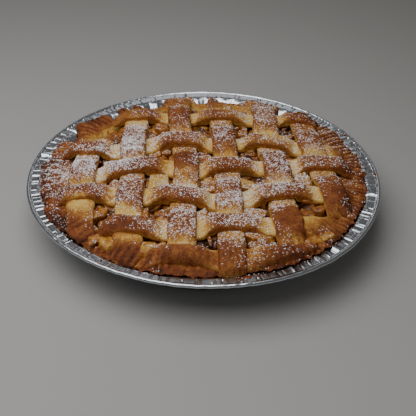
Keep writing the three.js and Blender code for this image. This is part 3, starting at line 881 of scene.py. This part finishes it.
# Where a strip across the pie passes over: its half widths to the front and to the back as shares
# of the full one, and how far it lies to the back.
HUMP_FRONT, HUMP_BACK, HUMP_SHIFT = 0.74, 0.86, 1.0
# What comes closer to the rim's edge than this distance, or past it, is trimmed by this share.
TRIM_FROM, TRIM_SHARE = 1.5, 0.75
# How much lower a strip lies on the rim, where the fork pressed it on.
PRESSED_DEPTH = 1.6


def strip_mesh(plan, lattice, crust):
    start, end = plan["ends"]
    # The rings lie closer where the ends round off.
    rounding = END_ROUNDING * (1 - np.cos(np.radians(np.linspace(8, 90, 8))))
    inset = END_ROUNDING + 0.1
    middle = np.linspace(start + inset, end - inset, round((end - start) / lattice.step))
    stations = np.concatenate([start + rounding[:-1], middle, (end - rounding[:-1])[::-1]])
    rings = len(stations) - 1
    bm = bmesh.new()
    bmesh.ops.create_cone(bm, cap_ends=True, cap_tris=False, segments=lattice.sides,
                          radius1=1, radius2=1, depth=rings)
    lengthwise = [e for e in bm.edges if abs(e.verts[0].co.z - e.verts[1].co.z) > 0.5]
    bmesh.ops.subdivide_edges(bm, edges=lengthwise, cuts=rings - 1, use_grid_fill=True)
    mesh = to_mesh(bm, plan["name"])
    raw = get_points(mesh)
    at = stations[np.clip(np.round(raw[:, 2] + rings / 2).astype(int), 0, rings)]
    share_round = np.arctan2(raw[:, 1], raw[:, 0]) / (2 * math.pi)
    around = np.round(share_round * lattice.sides).astype(int) % lattice.sides
    section_side, section_up = strip_section(lattice.sides)
    side, up = section_side[around], section_up[around]

    table, levels = levels_along(plan, lattice.landing)
    level = np.interp(at, table, levels)
    from_end = np.minimum(at - start, end - at)
    rounded = np.sqrt(np.clip(1 - (1 - np.clip(from_end / END_ROUNDING, 0, 1)) ** 2, 0.02, 1))
    thinned = lerp(0.3, 1, smoothstep(from_end, 0, plan.get("taper", 12)))
    line = np.stack([at, np.full_like(at, plan["number"] * 50 + 500 * plan["along"])], 1)
    uneven = 1 + 0.05 * rough(line, 16, 61) + 0.03 * rough(line, 5, 62)
    half_width = plan["width"] / 2 * uneven * lerp(0.9, 1, smoothstep(from_end, 0, 8)) * lerp(0.6, 1, rounded)
    hand = -1 if plan["along"] else 1
    aside = hand * side * half_width + 0.35 * rough(line, 22, 63)
    # The strips across the pie are drawn in where they pass over, most on their front side.
    if not plan["along"]:
        drawn_in = lerp(1, np.where(aside < 0, HUMP_FRONT, HUMP_BACK), level)
        aside = aside * drawn_in + HUMP_SHIFT * level
    slope = slope_of(plan, at)
    run = np.hypot(1, slope)
    # The ends are torn, not cut.
    torn = np.stack([aside, np.sign(at - (start + end) / 2) * 300 + line[:, 1]], 1)
    torn = (0.9 * rough(torn, 5, 70) + 0.6 * rough(torn, 2, 74)) * (1 - smoothstep(from_end, 0, 5))
    main, cross = at + torn - aside * slope / run, centre_line(plan, at) + aside / run
    radius = np.hypot(main, cross)
    # A strip is trimmed with the edge of the rim.
    too_long = np.maximum(radius - crust.edge_radius + TRIM_FROM, 0)
    shrink = 1 - TRIM_SHARE * too_long / np.maximum(radius, 1)
    main, cross, radius = main * shrink, cross * shrink, radius * shrink
    thickness = lerp(lattice.thickness, lattice.rim_thickness, (radius / crust.crest_radius) ** 2)
    fall = crust.crest_height - rim_top(np.minimum(radius, crust.edge_radius), crust)
    bed = lattice.bed_height - 0.6 * fall
    roll = 0.045 * rough(line, 30, 64)
    crown = (0.45 + 0.35 * level) * (1 - side ** 2) * up
    # How close each point is to a strip that passes over this one, and to one that it passes over.
    sheltered, carried = np.zeros(len(at)), np.zeros(len(at))
    for _, _, over, other in crossings_on(plan):
        past = main - centre_line(other, cross)
        gap = np.abs(past) - other["width"] / 2
        if over:
            carried = np.maximum(carried, 1 - smoothstep(gap, -0.8, 1.4))
        else:
            # In front of a strip across the pie the strip below it rises into the heat again.
            share = np.where((past < 0) & plan["along"], 0.25, 1)
            sheltered = np.maximum(sheltered, share * np.exp(-(np.maximum(gap, 0) / 8) ** 2))
    # The soft dough of a strip that passes over sagged down close beside the strip below it.
    underside = bed + carried * (thickness - 0.9)
    upper_side = bed + (level + thinned * rounded) * thickness
    height = lerp(underside, upper_side, up) + crown + roll * aside + 0.35 * rough(line, 24, 75)
    pressed = smoothstep(radius, 97, 106)
    height -= pressed * PRESSED_DEPTH
    # On the rim the underside is one with the dough below it, so no gap shows there.
    rim_below = rim_top(np.minimum(radius, crust.edge_radius), crust) - 1.2
    height -= smoothstep(radius, 92, 98) * (1 - up) * np.maximum(height - rim_below, 0)
    points = np.stack([cross, main, height] if plan["along"] else [main, cross, height], 1)
    direction = degrees_round(points)
    # The ends follow the shrunk and sunk edge, and carry the fork marks.
    shift = bumps_at(direction, EDGE_BUMPS, 4) * smoothstep(radius, 97, 110)
    points[:, 2] += np.minimum(0, shift) * SUNK_PER_SHRUNK * 0.8
    marks = fork_marks(points, crust) * pressed * up
    points[:, 2] -= marks
    set_points(mesh, points)
    relief = 0.55 * rough(points, 11, 65) + 0.35 * rough(points, 4.5, 66) + 0.18 * rough(points, 1.8, 67)
    points += get_normals(mesh) * (relief * (0.4 + 0.6 * up))[:, None]
    set_points(mesh, points)

    on_top = smoothstep(up, 0.62, 0.97)
    # The side towards the front of a strip across the pie is browner further down than the other sides,
    # partly as baked colour and partly as painted shade on these front faces.
    faces_front = 0 if plan["along"] else smoothstep(-hand * side, 0.6, 1)
    sides = lerp(smoothstep(up, 0.5, 0.95), smoothstep(up, 0.05, 0.6), faces_front)
    edge = smoothstep(np.abs(side), 0.8, 0.98) * smoothstep(up, 0.3, 0.6) * (1 - 0.8 * faces_front)
    browning = 0.06 + sides * (0.37 + 0.15 * level - 0.1 * faces_front) + 0.12 * edge * (0.4 + 0.6 * level)
    browning -= 0.45 * sheltered * (0.35 + 0.65 * on_top) * (1 - smoothstep(radius, 88, 100))
    browning += (0.08 + 0.16 * (1 - sides)) * smoothstep(radius, 90, 106)
    browning += (0.12 * rough(points, 12, 68) + 0.08 * rough(points, 4, 69)) * on_top
    # Painted shade: the fork marks on the ends are darker in their grooves, and the pressed ends a little
    # paler.
    browning += 0.32 * (marks / crust.fork_depth - 0.15 * pressed)
    browning += spots_at(points, STRIP_TONES) * (0.3 + 0.7 * on_top)
    set_values(mesh, "browning", np.clip(browning, 0, 1))
    return mesh


class PIE_OT_lattice(bpy.types.Operator):
    """Weaves and bakes the twelve strips"""
    bl_idname = "pie.lattice"
    bl_label = "Lattice"

    def execute(self, context):
        scene = context.scene
        pastry = material_named("baked_short_pastry", baked_pastry)
        for plan in ALONG + ACROSS:
            mesh = strip_mesh(plan, in_mm(scene.pie_lattice), in_mm(scene.pie_crust))
            add_piece("baked_" + plan["name"], mesh, [pastry], plan["name"])
        return {"FINISHED"}


# ---- filling ----

def hole_centres(top_radius):
    """The middles of the lattice's holes, between neighbouring strips both ways."""
    centres = []
    for i in range(len(ALONG) - 1):
        for j in range(len(ACROSS) - 1):
            x0 = float(centre_line(ALONG[i], 0))
            y = (float(centre_line(ACROSS[j], x0)) + float(centre_line(ACROSS[j + 1], x0))) / 2
            x = (float(centre_line(ALONG[i], y)) + float(centre_line(ALONG[i + 1], y))) / 2
            y = (float(centre_line(ACROSS[j], x)) + float(centre_line(ACROSS[j + 1], x))) / 2
            if math.hypot(x, y) < top_radius - 4:
                centres.append((x, y))
    return centres


# The pieces of apple that show in the holes: x, y, height of the top, size in x and in y, turn,
# and how dark it is, from 0, pale flesh, to 1, dark syrup; a few pieces under a strip's edge are dark as
# painted shade.
APPLES = [
    (-65, 14, 36.3, 12, 10, 8, 0.15), (-66, 2, 35, 9, 9, 20, 0.55),
    (-69, -24, 35.8, 7, 12, 5, 0.3), (-60.5, -27, 36.3, 7.5, 15, -6, 0.36),
    (-65, -55, 35.8, 7.5, 12, -18, 0.4), (-59.5, -58, 34, 7, 8, 10, 0.6), (-70, -57, 34.5, 6, 8, 10, 0.4),
    (-58, -84, 34.8, 11, 13, 25, 0.22), (-66, -81, 34.2, 9, 9, 15, 0.4),
    (-66, 37, 34, 9, 12, -25, 0.55), (-74, 32, 35, 13, 9, 30, 0.2),
    (-32.5, 53, 36.3, 11, 14, 3, 0.36),
    (-35, 27, 36, 13, 7, 4, 0.28), (-26.5, 21, 36.2, 8, 11, -8, 0.45), (-36, 17, 35.8, 11, 12, 10, 0.36),
    (-29.5, -21, 36.5, 17, 19, 2, 0.02),
    (-37, -59, 37, 5, 19, 2, 0.3), (-28, -57, 35.8, 10, 9, 12, 0.52), (-27, -64, 36.2, 10, 7, -8, 0.35),
    (-33, -90, 35.6, 10, 14, -12, 0.22), (-25.5, -91, 35.4, 9, 12, 10, 0.34),
    (-5, 71, 35.5, 13, 14, 5, 0.3), (-3, 43, 35.4, 10, 10, 40, 0.5), (-4, 52, 34, 8, 8, 10, 0.7),
    (1, 8, 35.8, 13, 13, 10, 0.38), (-1, 18, 35.2, 11, 9, -12, 0.5),
    (3, -25, 36.2, 11, 17, 6, 0.33),
    (-2, -58, 36.6, 10, 14, 5, 0.25), (6, -56, 35.6, 9, 11, -10, 0.42),
    (4.2, -83, 35.4, 3.6, 11, 8, 0.55), (-2, -91, 34.6, 7, 6, 0, 0.45),
    (29, 46, 36.6, 9, 10, 5, 0.3), (33, 39.5, 35.4, 8, 7, 0, 0.6), (27, 66, 35, 12, 8, 0, 0.2),
    (29, 24.5, 36.4, 17, 12, 3, 0.24), (34, 16, 35.2, 9, 6, 8, 0.6),
    (38, -20.5, 36.6, 9, 10, 10, 0.68), (29, -24, 36.9, 13, 13, 3, 0.16),
    (32, -55, 36.6, 18, 13, 3, 0.3),
    (34, -80.5, 36.4, 20, 7, -2, 0.3), (33, -87, 35.8, 12, 9, 8, 0.5), (41, -88, 36, 9, 11, -8, 0.56),
    (62.5, 41, 36, 9, 8, -20, 0.48), (58, 49, 34, 9, 8, 30, 0.75),
    (63, 31, 36, 10, 11, 10, 0.2), (62, 18, 36, 8, 8, 15, 0.46),
    (67, -16, 37, 14, 20, 3, 0.2), (80, -18, 36.4, 8, 15, 8, 0.3),
    (70, -40.5, 36.4, 19, 7, 5, 0.45), (75, -49, 35.4, 10, 9, 8, 0.5),
    (66, -81, 34.8, 14, 9, 18, 0.35), (76, -76, 34.6, 10, 7, 25, 0.28),
    (88, 17, 34.6, 10, 8, 0, 0.5),
]
# Where the filling is darker, as syrup between the pieces and as painted shade under the edges of the strips:
# x, y, radius x, radius y, amount.
SYRUP_AND_SHADE_SPOTS = [
    (3, -84, 10, 7, 0.6), (32, 12, 10, 5, 0.35), (-66, -8, 8, 6, 0.3), (70, -44, 10, 6, 0.3),
    (-30, -58, 9, 8, 0.35), (-66, -55, 9, 8, 0.3), (-4, 46, 8, 10, 0.25), (60, 46, 10, 8, 0.25),
    (34, 38, 8, 8, 0.2), (34, -18, 10, 6, 0.4),
]


def rounded_cube(cuts):
    """A cube with round edges, cut into a grid. A higher power would leave its edges sharper."""
    power = 5
    bm = bmesh.new()
    bmesh.ops.create_cube(bm, size=2)
    bmesh.ops.subdivide_edges(bm, edges=bm.edges, cuts=cuts, use_grid_fill=True)
    points, corners = shape_of(bm)
    return points / ((np.abs(points) ** power).sum(1) ** (1 / power))[:, None], corners


def apple_piece(cube, size, bend, place, seed):
    """One piece of apple, a cut chunk or a bent slice, rounded by the cooking."""
    random = np.random.default_rng(seed + 300)
    raw, corners = cube
    if bend:
        bend_radius, half_width, half_thickness = 11, 4, 2.5
        turn = np.radians(90 - 55 * raw[:, 0])
        reach = bend_radius + half_width * raw[:, 1] * np.sqrt(np.clip(1 - raw[:, 0] ** 2 * 0.75, 0.05, 1))
        points = np.stack([reach * np.cos(turn), reach * np.sin(turn) - bend_radius,
                           half_thickness * raw[:, 2]], 1)
    else:
        points = raw * size / 2
        # Cuts in odd directions, so that no chunk stays a regular block.
        for _ in range(5):
            facing = random.normal(size=3) * (1, 1, 0.5)
            facing /= np.linalg.norm(facing)
            over = points @ facing - (points @ facing).max() * random.uniform(0.66, 0.85)
            points -= 0.85 * np.maximum(over, 0)[:, None] * facing
    # Every piece takes its lumps from a place of its own.
    own = points + seed * 40
    points += raw * (0.5 * rough(own, 4, seed) + 0.25 * rough(own, 1.8, seed))[:, None]
    place = np.array(place)
    return points @ place[:3, :3].T + place[:3, 3], corners


def filling_mesh(dish, filling):
    bottom = SHELL_BOTTOM + SHELL_FLOOR + GAP
    base = dish.base_radius - CLEARANCE - SHELL_WALL - 2 * GAP
    profile = [(0, bottom), (base, bottom), (filling.top_radius, filling.side_height),
               (filling.top_radius - 3, filling.core_height - 0.4),
               (filling.top_radius - 7, filling.core_height), (0, filling.core_height)]
    # The core is syrup, and all else lies in it.
    steps, syrup_tone = 220, 0.85
    parts, tones = [shape_of(turned(profile, steps, [40, 6, 2, 2, 1.6]))], [syrup_tone]
    coarse, middling, fine = rounded_cube(3), rounded_cube(5), rounded_cube(7)
    random = random_from(90)

    def between(low, high):
        return low + (high - low) * next(random)

    def add_apple(cube, size, bend, place, tone):
        parts.append(apple_piece(cube, size, bend, place, len(parts)))
        tones.append(tone)

    for number, (x, y) in enumerate(hole_centres(filling.top_radius)):
        for k in range(filling.pieces_per_hole):
            turn = Matrix.Rotation(between(-0.5, 0.5) + (0.7 if k == 2 else 0), 4, "X")
            turn = Matrix.Rotation(between(-0.35, 0.35), 4, "Y") @ turn
            turn = Matrix.Rotation(between(0, 2 * math.pi), 4, "Z") @ turn
            lift = between(27, 30)
            place = Matrix.Translation((x + between(-7, 7), y + between(-7, 7), lift)) @ turn
            add_apple(middling, (11.7, 9, 9), k != 0, place, 0.4 + 0.4 * ((number * 7 + k * 5) % 10) / 10)
    loose = sum(len(points) for points, _ in parts)
    # Smaller pieces pack the filling up to the undersides of the strips.
    along = np.arange(-filling.top_radius, filling.top_radius, filling.packing)
    for x, y in np.stack(np.meshgrid(along, along), -1).reshape(-1, 2):
        spot = x + between(-1.8, 1.8), y + between(-1.8, 1.8)
        if math.hypot(*spot) > filling.top_radius - 3:
            continue
        tilt = Matrix.Rotation(between(-0.4, 0.4), 4, "X") @ Matrix.Rotation(between(-0.4, 0.4), 4, "Y")
        place = Matrix.Translation((*spot, between(29.6, 31.4))) @ tilt
        place = place @ Matrix.Rotation(between(0, 2 * math.pi), 4, "Z")
        add_apple(coarse, (between(8, 12), between(6, 9), 5.5), False, place, between(0.28, 0.62))
    for x, y, top, wide, deep, turn, tone in APPLES:
        tilt = Matrix.Rotation(between(-0.16, 0.16), 4, "X") @ Matrix.Rotation(between(-0.16, 0.16), 4, "Y")
        place = Matrix.Translation((x, y, top - filling.piece_depth / 2)) @ tilt
        place = place @ Matrix.Rotation(math.radians(turn), 4, "Z")
        add_apple(fine, (wide, deep, filling.piece_depth), False, place, tone)
    mesh = mesh_from("apple_filling", join(parts))
    points = get_points(mesh)
    radius = np.hypot(points[:, 0], points[:, 1])
    is_core = np.arange(len(points)) < len(parts[0][0])
    top = is_core & (points[:, 2] > filling.core_height - 0.5)
    lumps = 1.3 * rough(points, 9, 71) + 0.6 * rough(points, 4, 72)
    points[:, 2] += np.where(top, lumps * (1 - smoothstep(radius, 80, 88)), 0)
    low = np.arange(len(points)) < loose
    points[:, 2] = np.where(low, np.minimum(points[:, 2], filling.highest), points[:, 2])
    set_points(mesh, points)
    tone = np.repeat(tones, [len(part_points) for part_points, _ in parts])
    # Painted shade: the steep sides of the pieces are darker than their tops.
    tone += 0.12 * (1 - smoothstep(get_normals(mesh)[:, 2], 0.2, 0.8))
    # The dark spots reach only the low parts in the holes: dark syrup there, and painted shade under the
    # strips' edges.
    tone += spots_at(points, SYRUP_AND_SHADE_SPOTS) * (1 - smoothstep(points[:, 2], 33, 35))
    set_values(mesh, "browning", np.clip(tone + 0.12 * rough(points, 5, 73), 0, 1))
    return mesh


class PIE_OT_filling(bpy.types.Operator):
    """Fills the shell with cooked apple in syrup"""
    bl_idname = "pie.filling"
    bl_label = "Apple filling"

    def execute(self, context):
        scene = context.scene
        mesh = filling_mesh(in_mm(scene.pie_dish), in_mm(scene.pie_filling))
        apple = material_named("cooked_apple", cooked_apple)
        add_piece("cooked_apples", mesh, [apple], "apple_filling")
        return {"FINISHED"}


# ---- sugar and crumbs ----

def surface_of(names):
    """A search tree over the shown faces of the pieces named, in metres."""
    meshes = [bpy.data.objects[name].data for name in names]
    points, corners = join((get_points(mesh), [list(face.vertices) for face in mesh.polygons])
                           for mesh in meshes)
    return BVHTree.FromPolygons([Vector(p) for p in points], corners)


def surface_below(tree, x, y):
    """The topmost point of the pie at a place in plan, in mm, and its normal."""
    above = 0.1
    hit, normal, _, _ = tree.ray_cast(Vector((x * MM, y * MM, above)), Vector((0, 0, -1)))
    return (hit / MM if hit else None), normal


def scatter(name, bm, places):
    """Copies of a small shape as one mesh. Each place is a point, a normal, a turn and a size in
    three directions."""
    base, corners = shape_of(bm)
    parts = []
    for point, normal, turn, size in places:
        tilt = Vector(normal).to_track_quat("Z", "Y").to_matrix() @ Matrix.Rotation(turn, 3, "Z")
        parts.append((base @ np.array(tilt @ Matrix.Diagonal(size)).T + np.array(point), corners))
    return mesh_from(name, join(parts))


# A full turn in radians, for what may lie any way round.
ANY_TURN = 6.28
# How far out the sugar falls.
SUGAR_REACH = 118
# Below this height and within this radius a clump is in a hole, where this share of them is lost.
HOLE_TOP, HOLE_RADIUS, LOST_SHARE = 34.5, 90, 0.6
# Least and greatest half size of a clump as shares of its width, in its two directions and upwards.
CLUMP_SHARES = ((0.4, 0.65), (0.4, 0.65), (0.25, 0.45))


class PIE_OT_sugar(bpy.types.Operator):
    """Dusts the pie with powdered sugar"""
    bl_idname = "pie.sugar"
    bl_label = "Powdered sugar"

    def execute(self, context):
        sugar = in_mm(context.scene.pie_sugar)
        strips = ["baked_" + plan["name"] for plan in ALONG + ACROSS]
        tree = surface_of(strips + ["crimped_shell", "cooked_apples", "foil_pan"])
        random = np.random.default_rng(sugar.seed)
        reach = SUGAR_REACH
        tries = random.uniform(-reach, reach, (int(4 * reach ** 2 * sugar.density), 2))
        clumped = smoothstep(rough(tries, 1.9, 53) + 0.5 * rough(tries, 5, 54), -0.7, 0.6)
        wanted = sugar_cover(tries) * lerp(0.3, 1, clumped) * (np.hypot(*tries.T) < reach)
        kept = tries[random.uniform(0, 1, len(tries)) < wanted][:sugar.grains]
        places = []
        for x, y in kept:
            hit, normal = surface_below(tree, x, y)
            # Less of it stays on slopes, and less reaches the bottom of the holes.
            if hit is None or random.uniform(0.3, 0.85) > normal.z:
                continue
            in_hole = hit.z < HOLE_TOP and math.hypot(x, y) < HOLE_RADIUS
            if in_hole and random.uniform(0, 1) < LOST_SHARE:
                continue
            wide = sugar.grain * random.lognormal(-0.1, 0.3)
            size = [wide * random.uniform(*shares) for shares in CLUMP_SHARES]
            places.append((hit + Vector((0, 0, 0.1)), normal, random.uniform(0, ANY_TURN), size))
        bm = bmesh.new()
        bmesh.ops.create_cone(bm, cap_ends=True, cap_tris=False, segments=3, radius1=1, radius2=0, depth=1)
        mesh = scatter("sugar", bm, places)
        add_piece("powdered_sugar", mesh, [material_named("powdered_sugar", powdered_sugar)])
        return {"FINISHED"}


# Dried juice on the flange: direction from +X, radius, half size along and across, in mm.
JUICE_SPOTS = [
    (26, 119.5, 2.6, 1.2), (29.5, 118.4, 1.1, 0.8), (-1, 120, 2.2, 1.1), (1.5, 118.3, 0.9, 0.7),
    (-122, 117.5, 0.9, 0.6), (-77, 114.5, 2.8, 1.6), (-79.5, 115.5, 1.6, 1.2), (-74, 114.8, 1.2, 0.9),
]
JUICE_HALF_THICKNESS = 0.45
# The crumbs lie from this radius outwards, spread by about this much.
CRUMBS_FROM, CRUMBS_SPREAD = 112, 2


class PIE_OT_crumbs(bpy.types.Operator):
    """Drops crumbs and dried juice on the flange of the dish"""
    bl_idname = "pie.crumbs"
    bl_label = "Crumbs and juice"

    def execute(self, context):
        crumbs = in_mm(context.scene.pie_crumbs)
        tree = surface_of(["crimped_shell", "foil_pan"])
        random = np.random.default_rng(crumbs.seed)
        places = []
        for _ in range(crumbs.crumbs):
            turn = random.uniform(-math.pi, math.pi)
            radius = CRUMBS_FROM + abs(random.normal(0, CRUMBS_SPREAD))
            hit, normal = surface_below(tree, radius * math.cos(turn), radius * math.sin(turn))
            wide = crumbs.crumb * random.lognormal(-0.3, 0.4)
            size = wide * random.uniform(0.35, 0.6, 3)
            places.append((hit + Vector((0, 0, size[2] * 0.6)), normal, random.uniform(0, ANY_TURN), size))
        bm = bmesh.new()
        bmesh.ops.create_icosphere(bm, subdivisions=1, radius=1)
        mesh = scatter("crumbs", bm, places)
        set_values(mesh, "browning", 0.62 + 0.2 * rough(get_points(mesh), 3, 81))
        add_piece("pastry_crumbs", mesh, [material_named("baked_short_pastry", baked_pastry)])

        places = []
        for direction, radius, along, across in JUICE_SPOTS:
            turn = math.radians(direction)
            hit, _ = surface_below(tree, radius * math.cos(turn), radius * math.sin(turn))
            size = (along, across, JUICE_HALF_THICKNESS)
            places.append((hit, Vector((0, 0, 1)), turn + math.pi / 2, size))
        bm = bmesh.new()
        bmesh.ops.create_uvsphere(bm, u_segments=24, v_segments=12, radius=1)
        mesh = scatter("juice", bm, places)
        points = get_points(mesh)
        points[:, :2] += 0.35 * np.stack([rough(points, 1.4, 82), rough(points, 1.4, 83)], 1)
        set_points(mesh, points)
        add_piece("dried_juice", mesh, [material_named("dried_apple_juice", dried_juice)])
        return {"FINISHED"}


# ---- stage ----

FLOOR_HALF = 3000
# The lights: name, place, what it points at and the side of its square, all in metres, and the
# setting that holds its power.
LIGHTS = [
    ("overhead_light", (-0.2, -0.12, 0.54), (-0.2, -0.12, 0), 0.6, "overhead"),
    ("window_panel", (0.02, 1.3, 0.7), (0, 0, 0), 0.6, "window"),
]
CAMERA_EYE, CAMERA_AIM = (0, -422.69, 306.33), (2.864, -43.30, 30)
CAMERA_ROLL = 0.7427
SENSOR_WIDTH = 36


class PIE_OT_stage(bpy.types.Operator):
    """Sets the floor, the lights and the camera"""
    bl_idname = "pie.stage"
    bl_label = "Stage"

    def execute(self, context):
        stage = context.scene.pie_stage
        bm = bmesh.new()
        bmesh.ops.create_grid(bm, x_segments=2, y_segments=2, size=FLOOR_HALF)
        mesh = to_mesh(bm, "floor")
        set_points(mesh, get_points(mesh) * MM)
        material, tree = new_material("plain_backdrop")
        shader = add_node(tree, "ShaderNodeBsdfPrincipled", {
            "Base Color": stage.floor_colour, "Roughness": 0.9})
        finish_material(tree, shader)
        mesh.materials.append(material)
        floor = bpy.data.objects.new("floor", mesh)
        context.scene.collection.objects.link(floor)

        for name, place, aim, size, setting in LIGHTS:
            light = bpy.data.lights.new(name, "AREA")
            light.shape, light.size, light.energy = "SQUARE", size, getattr(stage, setting)
            lamp = bpy.data.objects.new(name, light)
            lamp.location = place
            lamp.rotation_euler = (Vector(aim) - Vector(place)).to_track_quat("-Z", "Y").to_euler()
            context.scene.collection.objects.link(lamp)
        world = bpy.data.worlds.new("soft_room")
        world.use_nodes = True
        background = world.node_tree.nodes["Background"]
        background.inputs["Color"].default_value = stage.room
        background.inputs["Strength"].default_value = stage.room_strength
        context.scene.world = world

        camera = bpy.data.cameras.new("camera")
        camera.lens, camera.sensor_width = stage.focal_length, SENSOR_WIDTH
        viewer = bpy.data.objects.new("camera", camera)
        eye, aim = Vector(CAMERA_EYE) * MM, Vector(CAMERA_AIM) * MM
        viewer.location = eye
        level = (aim - eye).to_track_quat("-Z", "Y").to_matrix()
        viewer.rotation_euler = (level @ Matrix.Rotation(math.radians(CAMERA_ROLL), 3, "Z")).to_euler()
        context.scene.collection.objects.link(viewer)
        context.scene.camera = viewer
        return {"FINISHED"}


class PIE_PT_panel(bpy.types.Panel):
    """Lists the steps of the pie"""
    bl_idname = "PIE_PT_panel"
    bl_label = "Apple pie"
    bl_space_type = "VIEW_3D"
    bl_region_type = "UI"
    bl_category = "Pie"

    def draw(self, context):
        for operator in OPERATORS:
            self.layout.operator(operator.bl_idname)


SETTINGS = {
    "pie_dish": DishSettings, "pie_crust": CrustSettings, "pie_lattice": LatticeSettings,
    "pie_filling": FillingSettings, "pie_sugar": SugarSettings, "pie_crumbs": CrumbSettings,
    "pie_stage": StageSettings,
}
OPERATORS = [
    PIE_OT_stage, PIE_OT_foil_dish, PIE_OT_shell, PIE_OT_lattice, PIE_OT_filling, PIE_OT_sugar, PIE_OT_crumbs,
]
CLASSES = [*SETTINGS.values(), *OPERATORS, PIE_PT_panel]


def register():
    for cls in CLASSES:
        bpy.utils.register_class(cls)
    for name, settings in SETTINGS.items():
        setattr(bpy.types.Scene, name, bpy.props.PointerProperty(type=settings))


def unregister():
    for name in SETTINGS:
        delattr(bpy.types.Scene, name)
    for cls in reversed(CLASSES):
        bpy.utils.unregister_class(cls)


def main():
    register()
    bpy.ops.pie.stage()
    bpy.ops.pie.foil_dish()
    bpy.ops.pie.shell()
    bpy.ops.pie.lattice()
    bpy.ops.pie.filling()
    bpy.ops.pie.sugar()
    bpy.ops.pie.crumbs()
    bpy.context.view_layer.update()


if __name__ == "__main__":
    main()
